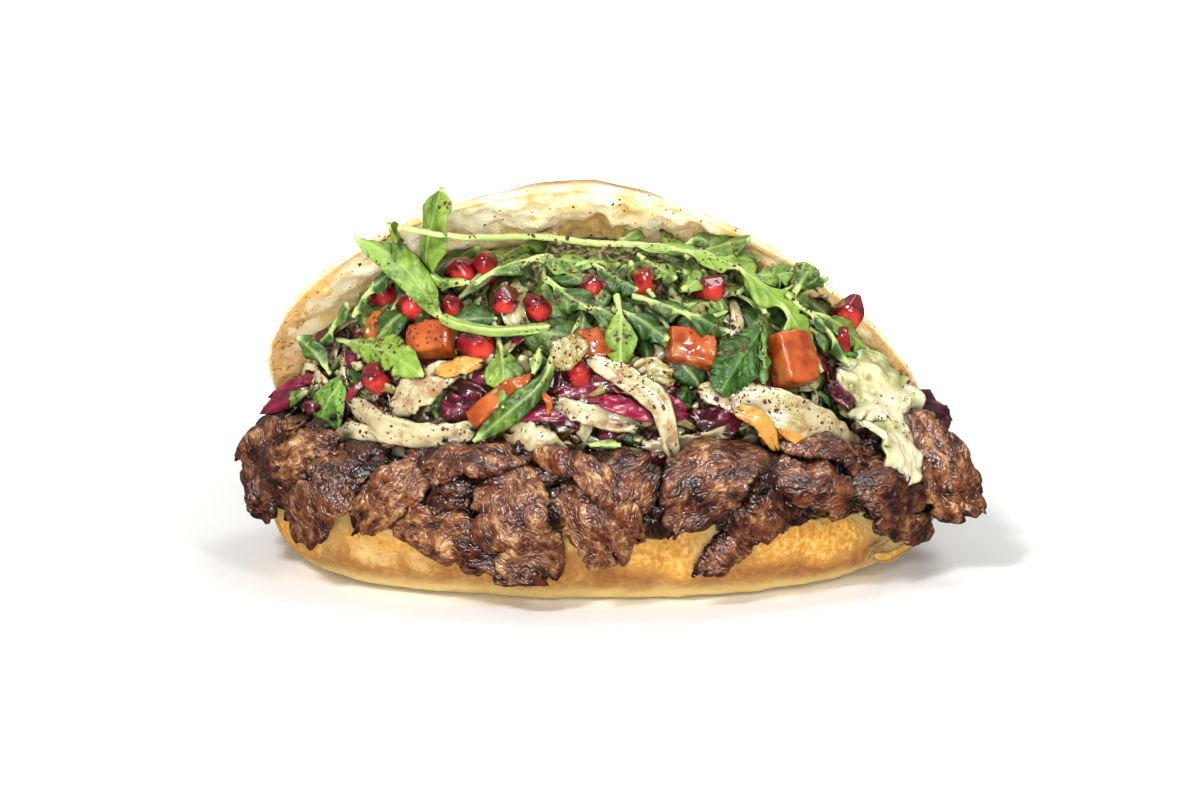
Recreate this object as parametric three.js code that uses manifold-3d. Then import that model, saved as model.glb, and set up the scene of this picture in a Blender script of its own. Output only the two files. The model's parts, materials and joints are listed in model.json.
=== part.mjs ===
// A doner kebab sandwich: a round flatbread cut open like a clam, packed with shaved meat, shredded
// cabbage, rocket, diced tomato and pomegranate seeds.
// Millimetres, +Z up. The mouth opens towards -Y and the lower bread lies flat on the ground.
import * as THREE from "three";
import { mergeVertices } from "three/addons/utils/BufferGeometryUtils.js";
import Module from "manifold-3d";

const wasm = await Module();
wasm.setup();

const V = (x, y, z) => new THREE.Vector3(x, y, z);
const radians = THREE.MathUtils.degToRad;
const { sin, cos, abs, max, min, sqrt, sign, PI } = Math;

// ---------------------------------------------------------------- driving dimensions

const BREAD = {
  halfWidth: 96,
  depth: 126, // back to front, seen from above
  lowerThick: 23,
  lidThick: 15,
  rim: 2, // thickness of the lid's edge, where the cut ran out through the crust
  corner: 0.22, // share of the radius that the crust's rounded wall takes
  tuck: 24, // degrees by which the wall leans in again under the cut face
  squareness: 2.4, // superellipse exponent of the outline
};
const LID = {
  angle: 46, // degrees that it stands open
  hingeY: 58,
  hingeZ: 22,
  droop: 26, // how far its two ends bend down over the filling
  lean: 10, // how much lower its right end hangs
  bow: 8, // how far its middle bulges back
  leftSquareness: 2.16,
  rightSquareness: 1.54,
};
const HINGE = { centre: V(0, 44, 24), radii: V(66, 12, 9) }; // uncut bread that joins the halves
const MEAT = { centre: V(2, -5, 34), radii: V(100, 62, 20), floor: 25.2, top: 44, back: 40 };
const MOUND = { centre: V(0, 10, 45), radii: V(86, 68, 58), floor: 44.4, top: 96 };
const GAP = 0.35; // clearance between neighbouring pieces
const SLICE_THICK = 3.4;
const LEAF_THICK = 0.9;

// ---------------------------------------------------------------- seeded random numbers

function randomFrom(seed) {
  let state = seed;
  return (low = 0, high = 1) => {
    state = (state * 1664525 + 1013904223) % 4294967296;
    return low + (high - low) * (state / 4294967296);
  };
}

// ---------------------------------------------------------------- solids

// A closed three.js geometry as a manifold solid.
function solidOf(geometry) {
  const bare = new THREE.BufferGeometry().setAttribute("position", geometry.getAttribute("position"));
  bare.setIndex(geometry.index);
  const merged = mergeVertices(bare, 1e-4);
  return solidFrom(merged.attributes.position.array, merged.index.array);
}

// A manifold solid from vertices and triangles, turned the right way out.
function solidFrom(vertices, triangles) {
  const make = (tris) =>
    new wasm.Manifold(
      new wasm.Mesh({
        numProp: 3,
        vertProperties: new Float32Array(vertices),
        triVerts: new Uint32Array(tris),
      }),
    );
  const solid = make(triangles);
  if (solid.volume() > 0) return solid;
  const turned = [];
  for (let i = 0; i < triangles.length; i += 3) {
    turned.push(triangles[i], triangles[i + 2], triangles[i + 1]);
  }
  return make(turned);
}

function geometryOf(solid) {
  const mesh = solid.getMesh();
  return new THREE.BufferGeometry()
    .setAttribute("position", new THREE.BufferAttribute(mesh.vertProperties, 3))
    .setIndex(new THREE.BufferAttribute(mesh.triVerts, 1));
}

// The solid with every vertex pushed out, so that each face moves out by about the gap.
function grown(solid) {
  const geometry = geometryOf(solid);
  const { position } = geometry.attributes;
  const triangles = geometry.index.array;
  const facesAt = Array.from({ length: position.count }, () => []);
  for (let i = 0; i < triangles.length; i += 3) {
    const [a, b, c] = [0, 1, 2].map((k) => V(0, 0, 0).fromBufferAttribute(position, triangles[i + k]));
    const face = b.sub(a).cross(c.sub(a)).normalize();
    for (let k = 0; k < 3; k++) facesAt[triangles[i + k]].push(face);
  }
  const moved = facesAt.flatMap((faces, i) => {
    const { out, least } = clearDirection(faces);
    return V(0, 0, 0).fromBufferAttribute(position, i).addScaledVector(out, GAP / least).toArray();
  });
  return solidFrom(moved, triangles);
}

// The direction that moves off all of a vertex's faces, and the least share of it that any of them gets.
function clearDirection(faces) {
  const [turns, turnShare, sharpest] = [12, 0.3, 0.3];
  const out = faces.reduce((sum, face) => sum.add(face), V(0, 0, 0)).normalize();
  const worst = () => faces.reduce((a, b) => (a.dot(out) < b.dot(out) ? a : b));
  for (let k = 0; k < turns; k++) out.addScaledVector(worst(), turnShare).normalize();
  return { out, least: max(sharpest, worst().dot(out)) };
}

// The biggest piece of a solid, with any sealed hollow in it filled.
function mainBody(solid) {
  const bodies = solid.decompose().filter((body) => body.volume() > 0);
  return bodies.reduce((a, b) => (a.volume() > b.volume() ? a : b));
}

function overlapping(a, b) {
  const p = a.boundingBox();
  const q = b.boundingBox();
  return [0, 1, 2].every((k) => p.min[k] < q.max[k] && q.min[k] < p.max[k]);
}

const settled = []; // grown copies of all that is in place already

const crossings = (solid) =>
  settled.filter((other) => overlapping(solid, other) && solid.intersect(other).volume() > 0);

// The solid cut back from everything already in place.
function trimmed(solid) {
  return mainBody(crossings(solid).reduce((rest, other) => rest.subtract(other), solid));
}

// Cuts each solid back, puts it in place and joins them all.
function settle(...solids) {
  const body = mainBody(wasm.Manifold.union(solids.map(trimmed)));
  settled.push(...solids.map(grown));
  return body;
}

// A heap: pieces that are cut back where they cross something, with up to `most` of the loose ones, those
// that cross nothing.
function heap(kept, loose, most) {
  const clear = loose.filter((piece) => crossings(piece).length === 0).slice(0, most);
  return settle(...kept, ...clear);
}

// A thin closed solid round a grid of middle points. Both faces are split alike.
function sheetSolid(rows, halfThick) {
  const down = rows.length;
  const across = rows[0].length;
  const count = down * across;
  const vertices = new Float32Array(count * 6);
  const at = (i, j) => rows[min(max(i, 0), down - 1)][min(max(j, 0), across - 1)];
  rows.forEach((row, i) =>
    row.forEach((point, j) => {
      const along = at(i + 1, j).clone().sub(at(i - 1, j));
      const over = at(i, j + 1).clone().sub(at(i, j - 1));
      const reach = halfThick(i / (down - 1), j / (across - 1));
      const offset = along.cross(over).normalize().multiplyScalar(reach);
      const k = i * across + j;
      point.clone().add(offset).toArray(vertices, 3 * k);
      point.clone().sub(offset).toArray(vertices, 3 * (count + k));
    }),
  );
  const triangles = [];
  for (let i = 0; i + 1 < down; i++) {
    for (let j = 0; j + 1 < across; j++) {
      const [a, b] = [i * across + j, i * across + j + 1];
      const [c, d] = [b + across, a + across];
      triangles.push(a, b, c, a, c, d);
      triangles.push(count + a, count + c, count + b, count + a, count + d, count + c);
    }
  }
  const rim = [];
  for (let j = 0; j < across - 1; j++) rim.push(j);
  for (let i = 0; i < down - 1; i++) rim.push(i * across + across - 1);
  for (let j = across - 1; j > 0; j--) rim.push((down - 1) * across + j);
  for (let i = down - 1; i > 0; i--) rim.push(i * across);
  rim.forEach((a, k) => {
    const b = rim[(k + 1) % rim.length];
    triangles.push(a, count + b, b, a, count + a, count + b);
  });
  return solidFrom(vertices, triangles);
}

// Rows of points across a ribbon that follows a smooth path. `facing` gives the outward direction at a
// point, `curl` bends the sides back and `wave` ruffles them, less where the ribbon is narrow.
function ribbonRows({ path, steps, across, width, facing, curl = 0, wave = 0, phase = 0, twist = 0 }) {
  const fullRuffle = 7; // width from which the sides curl and wave in full
  const curve = new THREE.CatmullRomCurve3(path);
  const rows = [];
  for (let i = 0; i <= steps; i++) {
    const t = i / steps;
    const centre = curve.getPointAt(t);
    const along = curve.getTangentAt(t);
    const side = along.clone().cross(facing(centre)).normalize().applyAxisAngle(along, twist * (t - 0.5));
    const out = side.clone().cross(along);
    const row = [];
    for (let j = 0; j <= across; j++) {
      const v = (2 * j) / across - 1;
      const reach = width(t, v);
      const ruffle = min(1, reach / fullRuffle) * (curl * v * v + wave * v * sin(phase + 9 * t + 2 * v));
      row.push(centre.clone().addScaledVector(side, (v * reach) / 2).addScaledVector(out, ruffle));
    }
    rows.push(row);
  }
  return rows;
}

// ---------------------------------------------------------------- bread

// Half a flatbread, seen from its cut face. `profile` lists the crust's rings from the cut edge to the
// middle, as share of the radius and depth behind the cut. `squareness` is the outline's superellipse
// exponent towards a direction. `place` maps width x, distance d from the back edge and depth n behind the
// cut face to a point.
function breadHalf({ profile, squareness, relief, place }) {
  const sectors = 36;
  const cutRings = [0.3, 0.58, 0.84];
  const rings = [...cutRings.map((r) => [r, 0]), ...profile];
  const thick = profile.at(-1)[1];
  const outline = (angle) => {
    const [c, s] = [cos(angle), sin(angle)];
    const power = squareness(c, s);
    const r = (abs(c) ** power + abs(s) ** power) ** (-1 / power);
    return [r * c, r * s];
  };
  const middle = BREAD.depth / 2;
  const vertices = [];
  rings.forEach(([r, n]) => {
    for (let j = 0; j < sectors; j++) {
      const [c, s] = outline((2 * PI * j) / sectors);
      const x = BREAD.halfWidth * r * c;
      const d = middle * (1 + r * s);
      vertices.push(...place(x, d, n + relief(x, d, n)).toArray());
    }
  });
  vertices.push(...place(0, middle, relief(0, middle, 0)).toArray());
  vertices.push(...place(0, middle, thick + relief(0, middle, thick)).toArray());
  const [cutPole, crustPole] = [rings.length * sectors, rings.length * sectors + 1];
  const last = (rings.length - 1) * sectors;
  const triangles = [];
  for (let j = 0; j < sectors; j++) {
    const next = (j + 1) % sectors;
    triangles.push(cutPole, j, next, crustPole, last + next, last + j);
    for (let i = 0; i + 1 < rings.length; i++) {
      const [a, b] = [i * sectors + j, i * sectors + next];
      triangles.push(a, a + sectors, b + sectors, a, b + sectors, b);
    }
  }
  return solidFrom(vertices, triangles);
}

// The lower half's crust: a rounded wall that leans in under the cut face, and a flat base.
function lowerProfile() {
  const wallSteps = 4;
  const tuck = radians(BREAD.tuck);
  const wall = [];
  for (let k = 0; k <= wallSteps; k++) {
    const turn = -tuck + ((PI / 2 + tuck) * k) / wallSteps;
    const depth = (BREAD.lowerThick * (sin(turn) + sin(tuck))) / (1 + sin(tuck));
    wall.push([1 - BREAD.corner * (1 - cos(turn)), depth]);
  }
  return [...wall, [0.4, BREAD.lowerThick]];
}

// The lid is as wide as the lower half at the hinge, and narrows to its front.
function lidSquareness(rightward, forward) {
  if (forward < 0) return BREAD.squareness;
  return rightward > 0 ? LID.rightSquareness : LID.leftSquareness;
}

// The lid's crust: a thin rim, then a low dome.
function lidProfile() {
  const flatShare = 0.3;
  const dome = [1, 0.92, 0.8, 0.64, 0.46, flatShare].map((r) => {
    const s = (r - flatShare) / (1 - flatShare);
    return [r, BREAD.rim + (BREAD.lidThick - BREAD.rim) * (1 - s * s)];
  });
  return [[1, 0], ...dome];
}

function placeLower(x, d, n) {
  return V(x, LID.hingeY + 4 - d, BREAD.lowerThick - n);
}

function placeLid(x, d, n) {
  const a = radians(LID.angle);
  const share = x / BREAD.halfWidth;
  const droop = LID.droop * share ** 2 + LID.lean * max(share, 0);
  const out = n - droop + LID.bow * sin((PI * min(d, BREAD.depth)) / BREAD.depth);
  return V(x, LID.hingeY - d * cos(a) + out * sin(a), LID.hingeZ + d * sin(a) + out * cos(a));
}

// Low lumps of the torn crumb on the cut faces.
function crumb(x, d, n) {
  if (n > 0) return 0;
  return 0.9 * sin(0.31 * x + 0.5) * sin(0.27 * d) + 0.6 * sin(0.53 * d + 0.2 * x);
}

// The same, and broad blisters on top of the lid.
function blisters(x, d, n) {
  if (n < 0.9 * BREAD.lidThick) return crumb(x, d, n);
  return 1.1 * sin(0.13 * x + 1) * sin(0.16 * d);
}

function makeBread() {
  const lower = breadHalf({
    profile: lowerProfile(),
    squareness: () => BREAD.squareness,
    relief: crumb,
    place: placeLower,
  });
  const lid = breadHalf({
    profile: lidProfile(),
    squareness: lidSquareness,
    relief: blisters,
    place: placeLid,
  });
  const hinge = new THREE.SphereGeometry(1, 20, 10);
  hinge.scale(...HINGE.radii.toArray());
  hinge.translate(...HINGE.centre.toArray());
  return settle(lower, lid, solidOf(hinge));
}

// ---------------------------------------------------------------- where things lie on the filling

// A point on the front of the salad mound, at width x and height z, lifted off it.
function onMound(x, z, lift = 0) {
  const { centre, radii } = MOUND;
  const [u, w] = [(x - centre.x) / radii.x, (z - centre.z) / radii.z];
  const point = V(x, centre.y - radii.y * sqrt(max(0, 1 - u * u - w * w)), z);
  return point.addScaledVector(outOfMound(point), lift);
}

// The same, `turn` degrees round from the front to the right.
function aroundMound(turn, z, lift) {
  const { centre, radii } = MOUND;
  const [c, s] = [cos(radians(turn)), sin(radians(turn))];
  const shrink = sqrt(max(0, 1 - ((z - centre.z) / radii.z) ** 2));
  const point = V(centre.x + radii.x * shrink * s, centre.y - radii.y * shrink * c, z);
  return point.addScaledVector(outOfMound(point), lift);
}

function outOfMound(point) {
  return point.clone().sub(MOUND.centre).divide(MOUND.radii).divide(MOUND.radii).normalize();
}

// A point on the side of the meat, `turn` degrees round from the front to the right, lifted off it.
function onMeat(turn, z, lift = 0) {
  const { centre, radii } = MEAT;
  const [c, s] = [cos(radians(turn)), sin(radians(turn))];
  const top = max(0, (z - centre.z) / radii.z);
  const shrink = sqrt(max(0, 1 - top * top));
  const point = V(centre.x + radii.x * shrink * s, centre.y - radii.y * shrink * c, z);
  return point.addScaledVector(outOfMeat(point), lift);
}

function outOfMeat(point) {
  const { centre, radii } = MEAT;
  const rise = max(0, point.z - centre.z) / radii.z ** 2;
  return V((point.x - centre.x) / radii.x ** 2, (point.y - centre.y) / radii.y ** 2, rise).normalize();
}

// An ellipsoid core, with each of its points held inside the space that `confine` leaves it.
function core({ centre, radii }, confine) {
  const ball = new THREE.SphereGeometry(1, 22, 12);
  ball.rotateX(PI / 2);
  ball.scale(...radii.toArray());
  ball.translate(...centre.toArray());
  const position = ball.attributes.position;
  for (let i = 0; i < position.count; i++) {
    const point = V(0, 0, 0).fromBufferAttribute(position, i);
    confine(point);
    position.setXYZ(i, ...point.toArray());
  }
  return solidOf(ball);
}

// How far back the filling may reach at width x and height z before it meets the lid's cut face.
function lidFront(x, z) {
  const clearance = 1.5;
  let [low, high] = [0, BREAD.depth];
  for (let k = 0; k < 20; k++) {
    const middle = (low + high) / 2;
    if (placeLid(x, middle, -clearance).z < z) low = middle;
    else high = middle;
  }
  return placeLid(x, low, -clearance).y;
}

// ---------------------------------------------------------------- meat

// One shaved slice: a thin bent slab with a ragged outline, thickest in the middle.
function slice({ path, width, seed, steps, front }) {
  const random = randomFrom(seed);
  const sides = 3;
  const ragged = Array.from({ length: sides * (steps + 1) }, () => random(0.82, 1.12));
  const taper = (t) => 0.5 + 0.5 * sin(PI * (0.12 + 0.76 * t));
  const rows = ribbonRows({
    path,
    steps,
    across: 2,
    facing: front ? () => front : outOfMeat,
    curl: random(-2.4, -0.6),
    wave: 1.2,
    phase: random(0, 6),
    twist: random(-0.5, 0.5),
    width: (t, v) => width * taper(t) * ragged[Math.round(t * steps) * sides + sign(v) + 1],
  });
  const thinner = (t, v) => (v === 0.5 ? 1 : 0.55) * (t === 0 || t === 1 ? 0.6 : 1);
  return sheetSolid(rows, (t, v) => (SLICE_THICK / 2) * thinner(t, v));
}

const FORWARD = V(0.2, -1, 0.3);

// The slices that show, from their upper to their lower end, with their width. Those at the two ends turn
// their broad side forward.
const SHOWN_SLICES = [
  [[V(-83, -36, 46), V(-92, -29, 40), V(-102, -22, 33)], 11, FORWARD],
  [[V(-72, -46, 44), V(-83, -43, 38), V(-90, -38, 33)], 13, FORWARD],
  [[V(-94, -26, 33), V(-97, -26, 25), V(-96, -26, 17)], 9, FORWARD],
  [[onMeat(-55, 38, 1), onMeat(-57, 29, 4), onMeat(-60, 20, 4)], 12],
  [[onMeat(-40, 42, 1), onMeat(-42, 31, 8), onMeat(-50, 14, 5)], 15],
  [[onMeat(-28, 40, 1), onMeat(-34, 33, 5), onMeat(-41, 21, 4)], 13],
  [[onMeat(-29, 26, 1), onMeat(-25, 30, 3), onMeat(-20, 33, 2)], 12],
  [[onMeat(-28, 37, 4), onMeat(-20, 40, 6), onMeat(-12, 42, 2)], 12],
  [[onMeat(-36, 27, 2), onMeat(-23, 20, 6), onMeat(-9, 12, 4)], 14],
  [[onMeat(-14, 40, 3), onMeat(-13, 25, 9), onMeat(-8, 11, 5)], 19],
  [[onMeat(-5, 37, 2), onMeat(-1, 27, 7), onMeat(3, 15, 4)], 17],
  [[onMeat(-12, 43, 4), onMeat(-1, 37, 10), onMeat(6, 22, 6)], 8],
  [[onMeat(-3, 43, 1), onMeat(3, 38, 6), onMeat(9, 32, 5)], 14],
  [[onMeat(5, 32, 0), onMeat(8, 27, 3), onMeat(10, 22, 2)], 12],
  [[onMeat(29, 43, 1), onMeat(18, 38, 10), onMeat(12, 25, 7)], 20],
  [[onMeat(27, 24, 1), onMeat(20, 18, 5), onMeat(14, 13, 4)], 11],
  [[onMeat(36, 30, 0), onMeat(27, 28, 5), onMeat(19, 23, 4)], 14],
  [[onMeat(28, 38, 1), onMeat(35, 34, 7), onMeat(43, 26, 5)], 12],
  [[onMeat(32, 44, 1), onMeat(38, 40, 6), onMeat(46, 36, 4)], 9],
  [[onMeat(44, 40, 1), onMeat(49, 31, 7), onMeat(53, 19, 5)], 16],
  [[V(92, -32, 44), V(103, -33, 32), V(107, -32, 18)], 19, FORWARD],
  [[onMeat(50, 26, 1), onMeat(57, 18, 5), onMeat(67, 14, 4)], 9],
];

function makeMeat() {
  const random = randomFrom(11);
  const body = core(MEAT, (point) => {
    point.z = min(max(point.z, MEAT.floor), MEAT.top);
    point.y = min(point.y, MEAT.back);
  });
  const shown = SHOWN_SLICES.map(([path, width, front], k) =>
    slice({ path, width, front, seed: 100 + k, steps: 3 }),
  );
  const loose = [];
  const candidates = 80;
  for (let k = 0; k < candidates; k++) {
    const turn = random(64, 122) * (k % 2 ? 1 : -1);
    const top = random(33, 46);
    const lean = random(-12, 12);
    const path = [
      onMeat(turn, top, 1),
      onMeat(turn + lean / 2, top - 8, 3),
      onMeat(turn + lean, top - 17, 1),
    ];
    loose.push(slice({ path, width: random(11, 17), seed: 200 + k, steps: 2 }));
  }
  return heap([body, ...shown], loose, 12);
}

// ---------------------------------------------------------------- salad

// A strip of cabbage: a narrow ribbon with blunt ends, `end` of its full width.
function strip({ path, width, thick, end = 0.6, ...rest }) {
  const rows = ribbonRows({
    path,
    steps: 5,
    across: 1,
    facing: outOfMound,
    wave: 0.4,
    twist: 0.3,
    width: (t) => width * (end + (1 - end) * sin(PI * t)),
    ...rest,
  });
  return sheetSolid(rows, () => thick / 2);
}

// Loose shreds of white and red cabbage that stand out of the mound.
function makeSalad() {
  const random = randomFrom(5);
  const body = core(MOUND, (point) => {
    point.z = min(max(point.z, MOUND.floor), MOUND.top);
    point.y = min(point.y, lidFront(point.x, point.z));
  });
  const loose = [];
  const candidates = 260;
  for (let k = 0; k < candidates; k++) {
    const turn = random(-100, 100);
    const z = random(46, 84);
    const rise = random(-6, 6);
    const sweep = random(3, 7);
    const path = [
      aroundMound(turn - sweep, z - rise, 0.5),
      aroundMound(turn, z, random(1.8, 3.2)),
      aroundMound(turn + sweep, z + rise, 0.5),
    ];
    loose.push(strip({ path, width: random(3, 5), thick: 1.8, steps: 2, twist: random(-1, 1) }));
  }
  return heap([body], loose, 26);
}

// ---------------------------------------------------------------- toppings

// A rocket leaf: a thin stalk, then a blade with side lobes and a larger end lobe.
function rocketWidth({ width, stalk, lobes }) {
  return (t) => {
    if (t < stalk) return 1.7;
    const s = (t - stalk) / (1 - stalk);
    const blade = sin(PI * min(1, s ** 1.25 * 0.97 + 0.03)) ** 0.8;
    const notch = s < 0.72 ? 0.66 + 0.34 * cos(2 * PI * lobes * s + PI) : 1;
    return max(1, width * blade * notch);
  };
}

const ovalWidth = (width) => (t) => max(1.2, width * sin(PI * (0.04 + 0.93 * t)) ** 0.7);

function leaf({ path, width, steps = 8, curl = -1.2, wave = 1, phase = 0, twist = 0 }) {
  const rows = ribbonRows({ path, steps, across: 2, width, facing: outOfMound, curl, wave, phase, twist });
  return sheetSolid(rows, (t, v) => (LEAF_THICK / 2) * (v === 0.5 ? 1.3 : 0.9));
}

// Rocket leaves from stalk to tip: path, blade width, share that is bare stalk, pairs of side lobes.
const ROCKET = [
  [
    [
      ...[V(-53, -37, 103), V(-37, -37, 101), onMound(-13, 93, 6), onMound(2, 92, 7), onMound(18, 90, 9)],
      ...[onMound(38, 83, 11), onMound(48, 75, 11), onMound(59, 60, 9)],
    ],
    15, 0.5, 2,
  ],
  [[onMound(-45, 82, 5), V(-46, -36, 100), V(-42, -39, 114)], 16, 0, 0],
  [
    [
      ...[onMound(-11, 74, 7), onMound(-30, 72, 10), onMound(-39, 74, 10), onMound(-44, 79, 9)],
      ...[V(-57, -35, 95), V(-67, -35, 100)],
    ],
    13, 0.5, 1,
  ],
  [[onMound(-48, 83, 6), V(-55, -33, 96), V(-57, -38, 104)], 10, 0.1, 1],
  [[onMound(-31, 82, 8), onMound(-22, 87, 7), onMound(-13, 89, 7), onMound(0, 88, 5)], 11, 0.1, 2],
  [[onMound(-12, 83, 10), onMound(-3, 78, 10), onMound(5, 76, 9), onMound(12, 73, 9)], 14, 0.05, 2],
  [[onMound(6, 79, 12), onMound(7, 72, 12), onMound(7, 64, 9)], 9, 0.1, 1],
  [[onMound(-26, 75, 5), onMound(-23, 64, 7), onMound(-22, 55, 10)], 11, 0.1, 1],
  [[onMound(-10, 68, 8), onMound(-12, 62, 10), onMound(-21, 54, 11), onMound(-30, 47, 9)], 8, 0, 0],
  [[onMound(-70, 66, 5), onMound(-58, 66, 7), onMound(-50, 64, 9), onMound(-43, 61, 9)], 12, 0, 1],
  [[onMound(24, 88, 8), onMound(33, 89, 9), V(44, -33, 99)], 14, 0.1, 1],
  [[onMound(38, 80, 7), onMound(46, 82, 7), V(57, -31, 90)], 10, 0.05, 1],
  [[onMound(50, 75, 7), V(58, -35, 86), V(62, -33, 92)], 8, 0.5, 0],
  [[onMound(55, 74, 8), onMound(63, 70, 9), onMound(73, 62, 8)], 10, 0.1, 1],
  [[onMound(-62, 79, 4), onMound(-57, 83, 5), onMound(-49, 86, 4)], 10, 0, 1],
];

// Broad leaves: name, path and width.
const BROAD_LEAVES = [
  ["mint_leaf", [onMound(43, 72, 10), onMound(36, 65, 12), onMound(31, 58, 10)], 15],
  ["round_leaf", [onMound(-67, 57, 6), onMound(-72, 48, 7), onMound(-76, 40, 5)], 16],
];

// Strips of white cabbage: path, width, thickness.
const WHITE_CABBAGE = [
  [[onMound(-1, 67, 7), onMound(10, 61, 10), onMound(17, 55, 11), onMound(21, 43, 9)], 6, 2.2],
  [[onMound(-12, 56, 5), onMound(-1, 54, 6), onMound(12, 51, 5)], 5.5, 2.2],
  [[onMound(-53, 52, 6), onMound(-45, 58, 7), onMound(-36, 64, 6)], 10, 2.6],
  [[onMound(-64, 52, 6), onMound(-54, 48, 8), onMound(-42, 47, 8), onMound(-31, 49, 6)], 7, 2.4],
  [[onMound(14, 46, 5), onMound(25, 46, 6), onMound(37, 49, 5)], 5, 2],
  [[onMound(28, 59, 6), onMound(39, 56, 8), onMound(53, 50, 12), onMound(67, 41, 12)], 10, 1.8],
  [[onMound(-74, 41, 5), onMound(-61, 41, 6), onMound(-47, 41, 5)], 6, 2],
];

// Pieces of red cabbage and radicchio: path, width, thickness.
const RED_CABBAGE = [
  [[onMound(-9, 59, 4), onMound(2, 60, 5), onMound(13, 57, 4)], 8, 1.6],
  [[onMound(27, 53, 4), onMound(33, 51, 5), onMound(40, 52, 4)], 7, 1.6],
  [[onMound(-41, 56, 4), onMound(-35, 54, 4), onMound(-29, 56, 4)], 7, 1.6],
  [[V(88, -26, 48), V(96, -23, 47), V(104, -19, 43)], 11, 1.6],
  [[onMound(62, 57, 8), onMound(65, 53, 9), onMound(70, 47, 8)], 4, 1.8],
];

// The lettuce leaf that hangs over the right end, heavy with yoghurt sauce.
const LETTUCE = {
  path: [V(72, -36, 62), V(80, -35, 57), V(86, -38, 49), V(88, -45, 40), V(88, -49, 34)],
  width: 25,
  thick: 2.4,
  end: 0.45,
  across: 4,
  wave: 1.6,
  curl: -2,
};

// Diced tomato: [x, z, lift], [width, depth, height], turn in degrees.
const TOMATO = [
  [[-43, 70, 4], [15, 10, 10], 10],
  [[-58, 71, 2], [10, 9, 10], -15],
  [[2, 71, 3], [13, 9, 10], 8],
  [[26, 69, 4], [15, 10, 11], -8],
  [[52, 64, 7], [12, 11, 16], 6],
  [[-26, 56, 6], [17, 6, 6], 40],
  [[48, 48, 7], [8, 5, 10], -12],
];

// Pomegranate seeds: [x, z, lift], length.
const SEEDS = [
  [[-36, 86, 4], 10],
  [[-29, 88, 4], 9],
  [[-49, 77, 4], 10],
  [[-58, 79, 3], 9],
  [[-31, 69, 5], 11.5],
  [[-23, 80, 4], 9.5],
  [[-15, 79, 4], 9.5],
  [[-38, 78, 4], 8],
  [[0, 83, 5], 9],
  [[13, 84, 4], 9.5],
  [[31, 82, 4], 9],
  [[68, 71, 6], 10],
  [[66, 66, 4], 9],
  [[-4, 64, 4], 10],
  [[-58, 59, 4], 9.5],
];

// A solid turned so that its -Y side faces out of the mound, then put at a point on the mound.
function atMound(geometry, [x, z, lift], turn) {
  const point = onMound(x, z, lift);
  const facing = new THREE.Quaternion().setFromUnitVectors(V(0, -1, 0), outOfMound(point));
  const spin = new THREE.Quaternion().setFromAxisAngle(V(0, -1, 0), radians(turn));
  geometry.applyQuaternion(facing.multiply(spin));
  geometry.translate(...point.toArray());
  return solidOf(geometry);
}

// A cube with slightly rounded edges and uneven corners.
function dice([width, depth, height], random) {
  const rounding = 7;
  const box = new THREE.BoxGeometry(2, 2, 2, 2, 2, 2);
  const position = box.attributes.position;
  const skew = [random(-0.12, 0.12), random(-0.12, 0.12)];
  for (let i = 0; i < position.count; i++) {
    const p = V(position.getX(i), position.getY(i), position.getZ(i));
    const norm = (abs(p.x) ** rounding + abs(p.y) ** rounding + abs(p.z) ** rounding) ** (1 / rounding);
    p.divideScalar(norm);
    p.x += skew[0] * p.z;
    p.z += skew[1] * p.x;
    position.setXYZ(i, (p.x * width) / 2, (p.y * depth) / 2, (p.z * height) / 2);
  }
  return box;
}

// A pomegranate seed: a plump kernel, narrower at one end.
function seed(length) {
  const kernel = new THREE.SphereGeometry(0.5, 7, 5);
  const position = kernel.attributes.position;
  for (let i = 0; i < position.count; i++) {
    const taper = 0.78 - 0.3 * position.getY(i);
    const across = length * taper;
    position.setXYZ(i, position.getX(i) * across, position.getY(i) * length, position.getZ(i) * across);
  }
  return kernel;
}

// ---------------------------------------------------------------- assembly

const COLOURS = {
  bread: ["#e0b470", 0.8],
  meat: ["#6b4232", 0.45],
  salad: ["#d9dcae", 0.5],
  rocket: ["#5f9a34", 0.5],
  leaf: ["#3f8432", 0.5],
  lettuce: ["#dfe6b8", 0.4],
  white_cabbage: ["#ece6cf", 0.4],
  red_cabbage: ["#8e1740", 0.4],
  tomato: ["#e2683a", 0.25],
  seed: ["#b3182a", 0.15],
};

const materials = Object.fromEntries(
  Object.entries(COLOURS).map(([name, [color, roughness]]) => [
    name,
    new THREE.MeshStandardMaterial({ color, roughness, metalness: 0 }),
  ]),
);

// A named mesh, with its geometry round its own middle and its place in its position.
function mesh(name, material, solid) {
  const geometry = geometryOf(solid);
  geometry.computeBoundingBox();
  const middle = geometry.boundingBox.getCenter(V(0, 0, 0));
  geometry.translate(-middle.x, -middle.y, -middle.z);
  geometry.computeVertexNormals();
  const made = new THREE.Mesh(geometry, materials[material]);
  made.name = name;
  made.position.copy(middle);
  return made;
}

const group = new THREE.Group();
const breadGroup = new THREE.Group();
const fillingGroup = new THREE.Group();
const toppingGroup = new THREE.Group();
group.add(breadGroup, fillingGroup, toppingGroup);

breadGroup.add(mesh("bread", "bread", makeBread()));

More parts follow.
